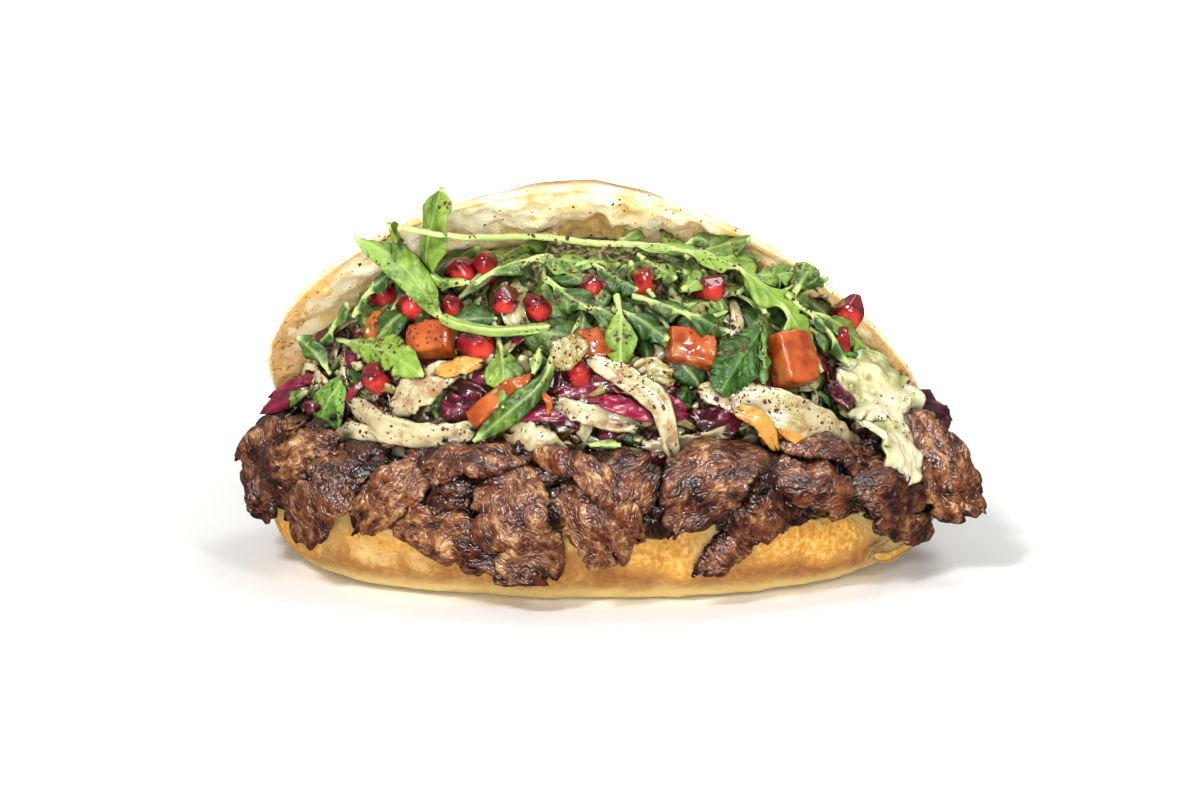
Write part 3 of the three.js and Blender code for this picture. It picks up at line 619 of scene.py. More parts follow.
def make_lid():
    inner = [(r, 0.0) for r in np.linspace(0.02, 0.99, 84)]
    x, d, n, r = half_bread(inner + lid_profile(), lid_power, 520)
    row = np.arange(len(n))[:, None] + 0 * r
    face = (row < len(inner)) * (1 - blend(0.93, 1.0, r))
    relief, hollow = crumb(x, d, face)
    place = flat(x, d, 40)
    outside = (row >= len(inner)) + 0.0
    dome = outside * (1 - blend(0.9, 1.0, r))
    blister = 1.2 * noise(place, 17, 2, 2) + 1.6 * np.maximum(noise(place, 26, 4), 0)
    n = n + relief + blister * dome - LID_BULGE * (1 - outside) * (1 - r**3) * blend(0.1, 0.5, r)
    points = place_lid(x, d, np.minimum(n, LID_THICK + 4))
    ends = blend(0.5, 1, np.abs(x) / HALF_WIDTH) * (1 - outside)
    toast = 0.5 * ends + 0.5 * blend(0.95, 1.0, r) * (1 - outside) + 0.12 * outside
    wild = noise(flat(x, d, 9), 12, 31, 2) + 0.3 * noise(place, 5, 6)
    crust = np.maximum(blend(3, 9, row - len(inner)), outside * (1 - blend(25, 60, d)))
    return turned_sheet(
        points, crust=crust, hollow=hollow, toast=toast, juice=0, spots=0.62 * ends,
        scorch=0.5 * dome * blend(0.35, 0.9, wild), blister=0,
    )


JUICE = [(-86, 9), (-62, 10), (22, 15), (70, 13)]  # where the meat drips on the crust: x and reach


def make_lower():
    inner = [(r, 0.0) for r in np.linspace(0.02, 0.985, 30)]
    x, d, n, r = half_bread(inner + lower_profile(), lambda c, s: SQUARENESS + 0 * c, 520)
    inside = (np.arange(len(n)) < len(inner))[:, None] + 0 * r
    relief, hollow = crumb(x, d, inside)
    wall = (1 - inside) * blend(0.74, 0.86, r)
    around = flat(x, d, n)
    blister = bubbles(around, 15, 51, 0.45) + 0.6 * bubbles(around, 7, 61, 0.4)
    swell = 1.1 * noise(around, 20, 12, 2) + 0.45 * noise(around, 5, 14, 3) + 2.2 * blister
    points = place_lower(x, d, n + relief)
    outward = unit(points - place_lower(0 * x, 0 * d + DEPTH / 2, 0 * n + LOWER_THICK / 2))
    points = points + outward * (swell * wall)[..., None]
    height = (LOWER_THICK - n) / LOWER_THICK
    drip = sum(np.exp(-(((x - place) / reach) ** 2)) for place, reach in JUICE)
    juice = blend(0.3, 1.0, height + 0.25 * noise(around, 20, 17, 2) + 0.22 * drip) * (1 - inside)
    juice = juice * (1 - 0.8 * blend(-20, 25, points[..., 1]))
    low = height + 0.05 * noise(around, 6, 27)
    base = (1 - inside) * (0.75 * (1 - blend(0.04, 0.16, low)) + 0.25 * (1 - blend(0.1, 0.6, low)))
    return turned_sheet(
        points, crust=1 - inside, hollow=hollow, toast=0.12, juice=juice + 0.8 * inside, spots=0.1,
        scorch=base, blister=blister * 2,
    )


def make_hinge():
    """The uncut bread that joins the two halves at the back."""
    centre, radii = HINGE
    way = ball(0.05, 50, 120, pole=0)
    points = centre + way * radii
    points = points + way * 0.8 * noise(points, 9, 5)[..., None]
    return turned_sheet(points, crust=1, hollow=0, toast=0.4, juice=0, spots=0.2, scorch=0.1, blister=0)


def make_flap(low, seed):
    """A thin torn layer that stands off the crust at the right, `low` mm below the topmost."""

    def reach(t, v):
        ragged = 1 + 0.35 * noise(flat(t * 24, 6 * np.sign(v), seed), 4, 2)
        return 6 * ragged * np.sqrt(1.03 - np.abs(2 * t - 1) ** 8)

    path = [(80, -39, 11 - low), (90, -32, 13.5 - low), (101 - low, -19, 19 - low)]
    grid, t, v, *_ = ribbon(path, 70, 18, reach, out_of_meat, curl=0.6, wave=0.4, phase=seed, end=2.0)
    return sheet(
        grid, 0.7, 0.1 * noise(grid, 3, 3, 2), crust=0.8, hollow=0, toast=0.3, juice=0.3 + 0.4 * (v > 0),
        spots=0.4, scorch=0.8 * (np.abs(v) > 0.75), blister=0,
    )


def make_bread():
    material = bread_material()
    piece("bread_lid", [make_lid()], material, "bread", "bread")
    lower = [make_lower(), make_hinge(), make_flap(0, 1), make_flap(2.6, 2)]
    piece("bread_lower", lower, material, "bread", "bread")


# ---- where things lie on the filling


def out_of_mound(points):
    return unit((points - MOUND[0]) / MOUND[1] ** 2)


def on_mound(x, z, lift):
    """A point on the front of the salad mound, lifted off it."""
    centre, radii = MOUND
    inside = 1 - ((x - centre[0]) / radii[0]) ** 2 - ((z - centre[2]) / radii[2]) ** 2
    point = np.array([x, centre[1] - radii[1] * math.sqrt(max(0, inside)), z])
    return point + out_of_mound(point) * lift


def around(heap, turn, z, lift, out, low):
    """A point on a heap's side, `turn` degrees round from the front to the right and `lift` off it along
    `out`. The side is upright under `low`, a share of the height from the heap's middle to its top."""
    centre, radii = heap
    shrink = math.sqrt(max(0, 1 - max(low, (z - centre[2]) / radii[2]) ** 2))
    angle = math.radians(turn)
    x = centre[0] + radii[0] * shrink * math.sin(angle)
    y = centre[1] - radii[1] * shrink * math.cos(angle)
    point = np.array([x, y, z])
    return point + out(point) * lift


def around_mound(turn, z, lift):
    return around(MOUND, turn, z, lift, out_of_mound, -1)


def out_of_meat(points):
    centre, radii = MEAT
    away = (points - centre) / radii**2
    away[..., 2] = np.maximum(away[..., 2], 0)
    return unit(away)


def on_meat(turn, z, lift):
    return around(MEAT, turn, z, lift, out_of_meat, 0)


def lid_front(x, z):
    """How far back the filling may reach before it meets the lid's cut face."""
    low, high = np.zeros_like(x), np.full_like(x, DEPTH)
    for _ in range(18):
        middle = (low + high) / 2
        below = place_lid(x, middle, -1.5 + 0 * x)[..., 2] < z
        low, high = np.where(below, middle, low), np.where(below, high, middle)
    return place_lid(x, low, -1.5 + 0 * x)[..., 1]


def behind_lid(points):
    """Whether any of these points lies further back than the lid's cut face."""
    points = np.array(points)
    return (points[:, 1] > lid_front(points[:, 0], points[:, 2]) + 2).any()


def lumpy_core(centre, radii, low, high, size, height, back):
    """An ellipsoid cut off below and above, held in front of `back`, with a lumpy surface."""
    way = ball(0.04, 80, 200)
    points = centre + way * radii
    lumps = height * noise(points, size, 4, 3) - height
    points = points + way * lumps[..., None]
    points[..., 2] = np.clip(points[..., 2], low, high)
    points[..., 1] = np.minimum(points[..., 1], back(points[..., 0], points[..., 2]))
    # For the meat, the dark tone and char are partly charred meat and partly painted shade in the gaps
    # between the slices over the core.
    return turned_sheet(
        points, grain_along=points[..., 0], grain_across=points[..., 2], tone=-0.9, char=0.45, raised=0
    )


# ---- meat

FORWARD = unit(np.array([0.2, -1, 0.3]))
SCRAPS, SIDE_SLICES = 44, 56  # small slices between those that show, and round both ends
S = on_meat

# Slices that show: upper to lower end, width, tone from -1 (charred) to 1 (pale), and what else
# meat_slice takes after its seed.
SHOWN_SLICES = [
    ([(-83, -36, 46), (-92, -29, 40), (-102, -22, 33)], 11, 0.3, True),
    ([(-72, -46, 44), (-83, -43, 38), (-90, -38, 33)], 13, 0.6, True),
    ([(-94, -26, 33), (-97, -26, 25), (-96, -26, 17)], 9, -0.6, True),
    ([S(-55, 38, 1), S(-57, 29, 4), S(-60, 20, 4)], 12, 0.4),
    ([S(-43, 43, 1), S(-47, 31, 8), S(-55, 15, 5)], 15, 0.3),
    ([S(-28, 40, 1), S(-34, 33, 5), S(-41, 21, 4)], 13, 0.3),
    ([S(-29, 26, 1), S(-25, 30, 3), S(-20, 33, 2)], 12, -0.7),
    ([S(-28, 37, 4), S(-20, 40, 6), S(-12, 42, 2)], 12, 0.3),
    ([S(-36, 27, 2), S(-23, 20, 6), S(-9, 12, 4)], 14, 0.4),
    ([S(-14, 40, 3), S(-13, 25, 9), S(-8, 11, 5)], 19, 0.6),
    ([S(-5, 37, 2), S(-1, 27, 7), S(3, 15, 4)], 17, 0.6),
    ([S(-12, 43, 4), S(-1, 37, 10), S(6, 22, 6)], 8, 0.7),
    ([S(-3, 43, 1), S(3, 38, 6), S(9, 32, 5)], 14, 0.0),
    ([S(5, 32, 0), S(8, 27, 3), S(10, 22, 2)], 12, -0.9),
    ([S(29, 43, 1), S(18, 38, 10), S(12, 25, 7)], 20, 0.1),
    ([S(24, 21, 1), S(20, 17, 4), S(16, 12, 3)], 9, 0.0),
    ([S(36, 30, 0), S(27, 28, 5), S(19, 23, 4)], 14, -0.4),
    ([S(28, 38, 1), S(35, 34, 7), S(43, 26, 5)], 12, -0.1),
    ([S(32, 44, 1), S(38, 40, 6), S(46, 36, 4)], 9, 0.0),
    ([S(44, 40, 1), S(49, 31, 7), S(53, 19, 5)], 16, -0.4),
    ([(88, -34, 47), (98, -37, 34), (107, -34, 19)], 18, 0.1, True, 96, 44, 0.5, 1.5),
    ([(99, -37, 34), (104, -37, 28), (110.5, -34, 21)], 9, 0.0, True, 50, 20, 0.5, 1.0),
    ([S(50, 26, 1), S(57, 18, 5), S(67, 14, 4)], 9, -0.1),
    ([(90, -27, 45), (99, -27, 35), (105, -25, 24)], 14, -0.4, True, 60, 24),
]


def meat_slice(path, width, tone, seed, forward=False, rows=76, columns=32, torn=1.0, folds=0.0):
    """A shaved slice: thin, crumpled, `torn` all round, its fibres raised, with folds `folds` mm high."""
    random = np.random.default_rng(seed)
    phase = random.uniform(0, 6)

    def reach(t, v):
        spot = flat(t * 46, 9 * np.sign(v), phase * 7)
        bites = 0.35 * blend(0.4, 0.8, noise(spot, 5, 9))
        ragged = 1 + torn * (0.17 * noise(spot, 8, 1) + 0.1 * noise(spot, 2.4, 2) - bites)
        whole = width * (0.66 + 0.38 * np.sin(np.pi * (0.1 + 0.8 * t)))
        return whole * ragged * np.sqrt(1.04 - np.abs(2 * t - 1) ** 9)

    facing = (lambda p: FORWARD + 0 * p) if forward else out_of_meat
    grid, t, v, along, across = ribbon(
        path, rows, columns, reach, facing, curl=random.uniform(-2.4, -0.4), wave=1.2, phase=phase,
        twist=random.uniform(-0.6, 0.6), end=4.0 * torn,
    )
    lean = random.uniform(-1.3, 1.3) * torn
    grain_along = along * math.cos(lean) + across * math.sin(lean)
    grain_across = across * math.cos(lean) - along * math.sin(lean)
    wander = grain_across + 2.2 * noise(grid, 8, 31, 2)
    crags = 1 - 2 * np.abs(noise(flat(grain_along / 3, wander, phase), 5, 3, 2))
    knobs = 1 - 2 * np.abs(noise(flat(grain_along / 2.2, wander, phase), 1.9, 4, 2))
    edge = 1 - (1 - np.abs(v) ** 4) * (1 - np.abs(2 * t - 1) ** 7)
    body = 2.8 * (0.35 + 0.65 * np.sqrt(1 - edge)) * (1 + 0.2 * noise(grid, 8, 6))
    relief = (0.42 * crags + 0.25 * knobs) * (1 - 0.5 * edge) / (1 + folds)
    crumple = 1.2 * noise(grid, 9, 13) + 1.2 * edge * noise(flat(t * 30, v * 5, phase), 6, 3)
    crumple = crumple + folds * np.abs(np.sin(grain_across / 1.6 + 1.5 * noise(flat(along, across), 14, 5)))
    grid = grid + out_of_meat(grid) * crumple[..., None]
    burnt = 0.9 * blend(0.35, 1, edge) * blend(-0.7, 0.4, noise(grid, 6, 21)) - 0.3 * tone
    # raised holds the relief's crests, which the paint makes lighter: painted light and shade.
    return sheet(
        grid, body, relief, grain_along=grain_along + 40 * phase, grain_across=grain_across, tone=tone,
        char=burnt, raised=0.9 * crags + 1.0 * knobs,
    )


def crumbs(random, count, place, side, heights, lifts, size):
    """Small torn lumps round a heap, as far as `side` degrees, each a squashed and dented ball."""
    made = []
    way = ball(0.15, 9, 14, pole=0)
    for _ in range(count):
        centre = place(random.uniform(-side, side), random.uniform(*heights), random.uniform(*lifts))
        axes = np.linalg.qr(random.normal(size=(3, 3)))[0]
        radii = random.uniform(*size) / 2 * np.array([1, random.uniform(0.5, 0.8), 0.55])
        local = way * radii * (1 + 0.45 * noise(way * 2 + centre, 1.1, 5, 2))[..., None]
        points = centre + local @ axes
        lump = turned_sheet(
            points, grain_along=local[..., 0], grain_across=local[..., 1], tone=random.uniform(-1, 0.6),
            char=random.uniform(-0.2, 0.7), raised=noise(way * 3 + centre, 1.2), sauce=0,
        )
        if not behind_lid([centre]):
            made.append(lump)
    return made


def make_meat():
    material = meat_material()
    core = lumpy_core(
        *MEAT, low=25.2, high=44, size=7, height=2.0,
        back=lambda x, z: MEAT_BACK - 34 * blend(52, 86, np.abs(x)),
    )
    shown = [
        meat_slice(path, width, tone, 100 + k, *rest)
        for k, (path, width, tone, *rest) in enumerate(SHOWN_SLICES)
    ]
    random = np.random.default_rng(11)
    scraps = []
    for k in range(SCRAPS):
        turn, z, lean = random.uniform(-66, 66), random.uniform(27, 45), random.uniform(-9, 9)
        path = [S(turn - lean, z + 4, 0), S(turn, z, 2.4), S(turn + lean, z - 4, 1)]
        # Scraps are dark: partly charred meat and partly painted shade in the gaps between the slices.
        width, tone = random.uniform(6, 10), random.uniform(-1.6, -0.4)
        scraps.append(meat_slice(path, width, tone, 300 + k, False, 22, 12))
    scraps += crumbs(random, 70, on_meat, 64, (23, 45), (0, 3), (2, 5))
    scraps += crumbs(random, 60, on_meat, 62, (26, 44), (4, 7), (2, 5))
    sides = []
    for k in range(SIDE_SLICES):
        turn = random.uniform(62, 124) * (1 if k % 2 else -1)
        top, lean = random.uniform(30, 46), random.uniform(-12, 12)
        path = [
            S(turn, top, 1),
            S(turn + lean / 2, top - 8, random.uniform(2, 5)),
            S(turn + lean, max(19, top - random.uniform(14, 20)), random.uniform(1, 4)),
        ]
        tone = random.uniform(-1, 0.8)
        sides.append(meat_slice(path, random.uniform(10, 17), tone, 400 + k, False, 28, 13))
    half = len(shown) // 2
    piece("meat_slices_left", shown[:half], material, "meat", "meat")
    piece("meat_slices_right", shown[half:], material, "meat", "meat")
    piece("meat_scraps", [core, *scraps], material, "meat", "meat")
    piece("meat_sides", sides, material, "meat", "meat")


# ---- leaves

# Rocket leaves from stalk to tip: path, blade width, share that is bare stalk, pairs of side lobes, tone
# and, where it isn't thin, the width of the stalk.
M = on_mound
ROCKET = [
    (
        [(-53, -40, 103), (-37, -42, 101), M(-13, 93, 7), M(2, 92, 7), M(18, 90, 9), M(38, 83, 11)]
        + [M(48, 75, 11), M(59, 60, 9)],
        14, 0.5, 4, 0.8,
    ),
    ([M(-45, 82, 5), (-46, -36, 100), (-42, -39, 114)], 16, 0, 0, 0.5),
    (
        [M(-11, 74, 7), M(-30, 72, 10), M(-39, 74, 10), M(-44, 79, 9), (-57, -35, 95), (-67, -35, 100)],
        10, 0.45, 0, 0.6, 3.2,
    ),
    ([M(-48, 83, 6), (-55, -33, 96), (-57, -38, 104)], 10, 0.1, 1, 0.2),
    ([M(-31, 82, 8), M(-22, 87, 7), M(-13, 89, 7), M(0, 88, 5)], 11, 0.1, 2, 0.1),
    ([M(-12, 83, 10), M(-3, 78, 10), M(5, 76, 9), M(12, 73, 9)], 14, 0.05, 2, -0.5),
    ([M(6, 79, 12), M(7, 72, 12), M(7, 64, 9)], 9, 0.1, 1, 0.6),
    ([M(-26, 75, 5), M(-23, 64, 7), M(-22, 55, 10)], 11, 0.1, 1, 0.3),
    ([M(-10, 68, 8), M(-12, 62, 10), M(-21, 54, 11), M(-30, 47, 9)], 7, 0, 0, -0.5),
    ([M(-70, 66, 5), M(-58, 66, 7), M(-50, 64, 9), M(-43, 61, 9)], 12, 0, 1, 0.8),
    ([M(24, 88, 8), M(33, 89, 9), (44, -33, 99)], 14, 0.1, 1, 0.0),
    ([M(38, 80, 7), M(46, 82, 7), (57, -31, 90)], 10, 0.05, 1, 0.1),
    ([M(50, 75, 7), (58, -35, 86), (62, -33, 92)], 8, 0.5, 0, 0.0),
    ([M(55, 74, 8), M(63, 70, 9), M(73, 62, 8)], 10, 0.1, 1, 0.2),
    ([M(-62, 79, 4), M(-57, 83, 5), M(-49, 86, 4)], 10, 0, 1, -0.5),
]


def rocket_width(width, stalk, lobes, seed, stem=1.9):
    """Full width along a rocket leaf: a bare stalk `stem` mm wide, then a blade cut into lobes."""

    def reach(t, v):
        s = np.clip((t - stalk) / (1 - stalk), 0, 1)
        blade = np.sin(np.pi * np.minimum(1, s**1.25 * 0.97 + 0.03)) ** 0.8
        beat = np.cos(2 * np.pi * lobes * (s + 0.05 * np.sign(v)) + np.pi)
        notch = np.where(s < 0.74, 0.58 + 0.42 * np.sign(beat) * np.abs(beat) ** 0.6, 1)
        if not lobes:
            notch = 1
        teeth = 1 + 0.1 * noise(flat(t * 40, 5 * np.sign(v), seed), 2.2, 5)
        return np.where(t < stalk, stem, np.maximum(1.3, width * blade * notch * teeth))

    return reach


def leaf(
    path, reach, seed, rows, columns=23, curl=-1.2, wave=1.0, vein=5.0, quilt=0.25, lumps=(4, 0.4), tone=None
):
    """A thin leaf with a raised midrib and side veins that slant forward."""
    random = np.random.default_rng(seed)
    grid, t, v, along, across = ribbon(
        path, rows, columns, reach, out_of_mound, curl=curl, wave=wave, ripples=random.uniform(1, 2),
        phase=random.uniform(0, 6), sweep=0.25, gather=1.4,
    )
    midrib = np.exp(-((across / 0.5) ** 2))
    slant = (along - 0.9 * np.abs(across)) / vein
    side = np.exp(-(((slant % 1 - 0.5) * vein / 0.5) ** 2)) * blend(0.6, 2, np.abs(across))
    size, height = lumps
    crinkle = height * noise(grid, size, seed, 2)
    crinkle = crinkle - quilt * np.cos(2 * np.pi * slant) * blend(0.5, 2.5, np.abs(across))
    grid = grid + out_of_mound(grid) * crinkle[..., None]
    width = np.abs(reach(t, v))
    body = 0.4 + 0.7 * midrib * np.clip(1.2 - t, 0.2, 1)
    stalk = 1 - blend(1.8, 4, width)
    body = np.where(np.abs(v) > 0.99, 0.12, body) + 0.7 * stalk * (1 - v**2)
    rib = np.clip(0.7 * midrib * (1 - 0.6 * t) + 0.14 * side + 0.8 * stalk, 0, 1)
    tone = random.uniform(-1.3, 0.6) if tone is None else tone
    return sheet(grid, body, 0.0, rib=rib, tone=tone)


def oval(width, teeth=0, deep=0.0):
    """Full width of an oval leaf, with a saw-toothed edge if asked."""

    def reach(t, v):
        saw = 1 + deep * ((t * teeth + 0.3 * np.sign(v)) % 1 - 0.5)
        return np.maximum(1.2, width * np.sin(np.pi * (0.03 + 0.95 * t)) ** 0.5 * saw)

    return reach


def make_leaves():
    rocket = leaf_material("rocket", "#22480c", "#82a03a", "#b2c676")
    herb = leaf_material("herb", "#163809", "#41701e", "#5f8c38")
    fresh = leaf_material("fresh_herb", "#3c6c1c", "#7ca644", "#a6c276")
    for k, (path, width, stalk, lobes, tone, *stem) in enumerate(ROCKET):
        reach = rocket_width(width, stalk, lobes, k, *stem)
        body = leaf(path, reach, 500 + k, 160 if len(path) > 5 else 80, tone=tone)
        piece(f"rocket_leaf_{k + 1}", [body], rocket, "rocket", f"rocket_{k + 1}")
    mint = leaf(
        [M(43, 71, 10), M(37, 65, 12), M(32, 58, 10)], oval(12.5, 13, 0.16), 601, 120, 45,
        curl=-1.8, wave=1.2, vein=3.2, quilt=0.16, lumps=(2.6, 0.5), tone=0.0,
    )
    piece("mint", [mint], herb, "leaf", "mint_leaf")
    round_leaf = leaf(
        [M(-67, 57, 6), M(-72, 48, 7), M(-76, 40, 5)], oval(16), 602, 90, 31, curl=-1.5, wave=0.8, tone=0.2
    )
    piece("round_herb", [round_leaf], fresh, "leaf", "round_leaf")
    return rocket, herb


# ---- cabbage and other shreds

# Strips of white cabbage: path, width, thickness.
WHITE_CABBAGE = [
    ([M(-1, 67, 7), M(10, 61, 10), M(17, 55, 11), M(21, 43, 9)], 6, 2.2),
    ([M(-12, 56, 5), M(-1, 54, 6), M(12, 51, 5)], 5.5, 2.2),
    ([M(-53, 52, 6), M(-45, 58, 7), M(-36, 64, 6)], 10, 2.6),
    ([M(-64, 52, 6), M(-54, 48, 8), M(-42, 47, 8), M(-31, 49, 6)], 7, 2.4),
    ([M(14, 46, 5), M(25, 46, 6), M(37, 49, 5)], 5, 2),
    ([M(28, 59, 6), M(39, 56, 8), M(53, 50, 12), M(67, 41, 12)], 10, 1.8),
    ([M(-74, 41, 5), M(-61, 41, 6), M(-47, 41, 5)], 6, 2),
]

# Pieces of red cabbage and radicchio: path, width, thickness and, where it isn't random, tone.
RED_CABBAGE = [
    ([M(-9, 59, 4), M(2, 60, 5), M(13, 57, 4)], 8, 1.6),
    ([M(27, 53, 4), M(33, 51, 5), M(40, 52, 4)], 7, 1.6),
    ([M(-41, 56, 4), M(-35, 54, 4), M(-29, 56, 4)], 7, 1.6),
    ([(88, -26, 48), (96, -23, 47), (104, -19, 43)], 11, 1.6, -1.2),
    ([M(62, 57, 8), M(65, 53, 9), M(70, 47, 8)], 4, 1.8),
]

LETTUCE_WIDTH = 28.0
LETTUCE_PATH = [(72, -36, 62), (80, -35, 57), (86, -38, 49), (88, -45, 40), (88, -49, 34)]


def shred(path, width, thick, seed, rows, columns, ruffle, tone=None, roll=0.4):
    """A cut strip of cabbage: flat-sided, ribbed along, with slanting ragged ends."""
    random = np.random.default_rng(seed)
    phase = random.uniform(0, 6)
    narrow = random.uniform(0.35, 0.9)

    def reach(t, v):
        spot = flat(t * 34, 6 * np.sign(v), phase * 5)
        uneven = 1 + 0.22 * noise(spot, 7, 2) + 0.1 * noise(spot, 2, 3)
        taper = narrow + (1 - narrow) * np.sin(np.pi * (0.08 + 0.84 * t))
        return width * taper * uneven * np.sqrt(1.05 - np.abs(2 * t - 1) ** 24)

    grid, t, v, along, across = ribbon(
        path, rows, columns, reach, out_of_mound, curl=random.uniform(-0.9, 1.2), wave=ruffle,
        ripples=random.uniform(1, 2.5), phase=phase, twist=random.uniform(-roll, roll), end=2.0,
    )
    grid = grid + out_of_mound(grid) * (0.7 * noise(grid, 7, 17, 2))[..., None]
    relief = 0.2 * noise(flat(along / 12, across, phase), 1.6, 4) + 0.06 * noise(grid, 1.8, 8)
    body = thick * (0.55 + 0.45 * np.sqrt(1 - np.abs(v) ** 6))
    body = body * (0.75 + 0.25 * noise(flat(t * 9, phase), 4, 5))
    return sheet(
        grid, body, relief, grain_along=along + 30 * phase, grain_across=across,
        tone=random.uniform(-1, 1) if tone is None else tone, sauce=0,
    )


def make_lettuce():
    """The pale leaf that hangs over the right end, heavy with sauce."""

    def reach(t, v):
        uneven = 1 + 0.12 * noise(flat(t * 30, 6 * np.sign(v)), 5, 2)
        whole = LETTUCE_WIDTH * (0.42 + 0.58 * np.sin(np.pi * (0.1 + 0.86 * t)))
        return whole * uneven * np.sqrt(1.02 - np.abs(2 * t - 1) ** 10)

    grid, t, v, along, across = ribbon(
        LETTUCE_PATH, 90, 50, reach, out_of_mound, curl=-2, wave=1.9, ripples=2.2, phase=1, end=3
    )
    sauce = blend(-0.3, 0.4, noise(flat(along, across), 9, 3, 3) + 1.1 * (t - 0.2))
    frill = np.abs(v) ** 2 * np.sin(1.1 * along + 2.0 * noise(grid, 8, 2))
    folds = 0.7 * noise(grid, 6, 4, 3) - 1.5 * np.abs(noise(grid, 7, 24, 2))
    grid = grid + out_of_mound(grid) * (folds + 1.1 * frill)[..., None]
    relief = 0.4 * sauce + 0.2 * noise(grid, 2.2, 2)
    tone = 0.3 - 0.8 * np.abs(v)
    return sheet(grid, 1.0, relief, grain_along=along, grain_across=across, tone=tone, sauce=0.9 * sauce)


def make_cabbage():
    white = cabbage_material("white_cabbage", "#94863c", "#c5ba92", "#cec39c", "#8c4e18", 0.9)
    red = cabbage_material("red_cabbage", "#2c030e", "#8e0e36", "#b4567a", "#1a040a")
    pale = cabbage_material("lettuce", "#7e8c30", "#cfc796", "#dcd6ae", "#6a5c24")
    for k, (path, width, thick) in enumerate(WHITE_CABBAGE):
        body = shred(path, width, 0.75 * thick, 700 + k, 70, 20, 0.8, 0.3)
        piece(f"white_cabbage_strip_{k + 1}", [body], white, "white_cabbage", f"white_cabbage_{k + 1}")
    for k, (path, width, thick, *tone) in enumerate(RED_CABBAGE):
        body = shred(path, width, thick, 720 + k, 60, 20, 1.2, *tone)
        piece(f"red_cabbage_piece_{k + 1}", [body], red, "red_cabbage", f"red_cabbage_{k + 1}")
    piece("lettuce_leaf", [make_lettuce()], pale, "lettuce", "lettuce")
    return white, red, pale


# ---- seeds and tomato

SEED_SWELL = 1.02  # the skin stands proud of the plain solid's flats
SEED_EDGE = 16  # the higher, the sharper the edges between the flats
GLOW_SIDE = unit(np.array([0.15, -0.8, -0.35]))  # the side on which a seed glows, as if lit through: painted light


def refined(node, cell, rounds):
    """A copy of a CAD node's solid, remeshed finely and smoothed, as points in mm and faces."""
    copy = linked("scratch", frame["nodes"][node].data.copy())
    remesh = copy.modifiers.new("remesh", "REMESH")
    remesh.mode = "VOXEL"
    remesh.voxel_size = cell * MM
    smooth = copy.modifiers.new("smooth", "SMOOTH")
    smooth.iterations = rounds
    smooth.factor = 0.5
    mesh = bpy.data.meshes.new_from_object(copy.evaluated_get(bpy.context.evaluated_depsgraph_get()))
    points = np.empty(3 * len(mesh.vertices))
    mesh.vertices.foreach_get("co", points)
    corners = np.empty(4 * len(mesh.polygons), int)
    mesh.loops.foreach_get("vertex_index", corners)
    bpy.data.objects.remove(copy)
    bpy.data.meshes.remove(mesh)
    return points.reshape(-1, 3) / MM - SHIFT, corners.reshape(-1, 4)


def make_seeds():
    """Pomegranate seeds: glassy, with flat sides worn round and a painted glow on the lower front, as if lit
    through.
    """
    material = juicy_material("pomegranate", "#340308", "#7c0a12", "#cf3c34", 3, 0.06, 0.2)
    way = ball(0.06, 34, 56)
    for node in sorted(n for n in frame["nodes"] if n.startswith("pomegranate")):
        corners = np.array([v.co for v in frame["nodes"][node].data.vertices]) / MM - SHIFT
        centre = (corners.max(0) + corners.min(0)) / 2
        axes = np.linalg.eigh(np.cov((corners - centre).T))[1]
        reach = np.abs((corners - centre) @ axes).max(0) * SEED_SWELL
        random = np.random.default_rng(len(node) + int(node.split("_")[1]))
        sides = unit(random.normal(size=(13, 3)))
        flats = (np.maximum(0, way @ sides.T) ** SEED_EDGE).sum(-1) + 0.35**SEED_EDGE
        local = way * np.clip(flats ** (-1 / SEED_EDGE), 0.8, 1.25)[..., None]
        local = local * (1 - 0.16 * local[..., 2:])
        points = centre + (local * reach) @ axes.T
        # Painted light: each seed is paler and brighter on its lower front, as if lit through.
        lit = unit(points - centre) @ GLOW_SIDE
        seed = turned_sheet(points, core=0.9 * blend(0.5, 1.0, lit + 0.25 * noise(points, 3, 9)))
        piece(node.replace("pomegranate", "seed"), [seed], material, "pomegranate", node)


def make_tomato():
    material = juicy_material("tomato", "#86320a", "#ac4f1c", "#c4743a", 6, 0.2, 0.15)
    for node in sorted(n for n in frame["nodes"] if n.startswith("tomato")):
        points, faces = refined(node, 0.6, 3)
        centre = points.mean(0)
        points = points + unit(points - centre) * (0.4 * noise(points, 4.5, 6, 3))[:, None]
        core = 0.5 * blend(0.1, 0.7, noise(points, 5, 12, 2))
        piece(node.replace("tomato", "dice"), [Body(points, [faces], core=core)], material, "tomato", node)


# ---- salad

STREWN_RADIUS = 80  # of the mound, mm, to turn lengths along it into degrees


def strewn_path(random, side, heights, length, lift, angle, dip, stray=0):
    """A short path across the mound, up to `side` degrees round, whose ends dip into it."""
    turn = random.uniform(-side, side)
    z = random.uniform(*heights)
    angle = angle(random)
    half = random.uniform(*length) / 2
    sweep = math.degrees(half * math.cos(angle) / STREWN_RADIUS)
    rise = half * math.sin(angle)
    height = random.uniform(*lift)
    start = around_mound(turn - sweep, z - rise, height - random.uniform(0, dip))
    middle = z + random.uniform(-stray, stray) if stray else z
    middle = around_mound(turn, middle, height + random.uniform(0, 2))
    return [start, middle, around_mound(turn + sweep, z + rise, height - random.uniform(0, dip))]


def scattered_shreds(count, seed, heights, length, width, thick, lift):
    """Shreds laid at random on the mound, most of them level."""
    random = np.random.default_rng(seed)
    made = []
    for k in range(count):
        path = strewn_path(random, 78, heights, length, lift, lambda r: r.normal(0, 0.7), 3, 3)
        across = random.uniform(*width)
        if not behind_lid(path):
            made.append(shred(path, across, thick, 1000 * seed + k, 20, 7, 0.9, roll=1.4))
    return made


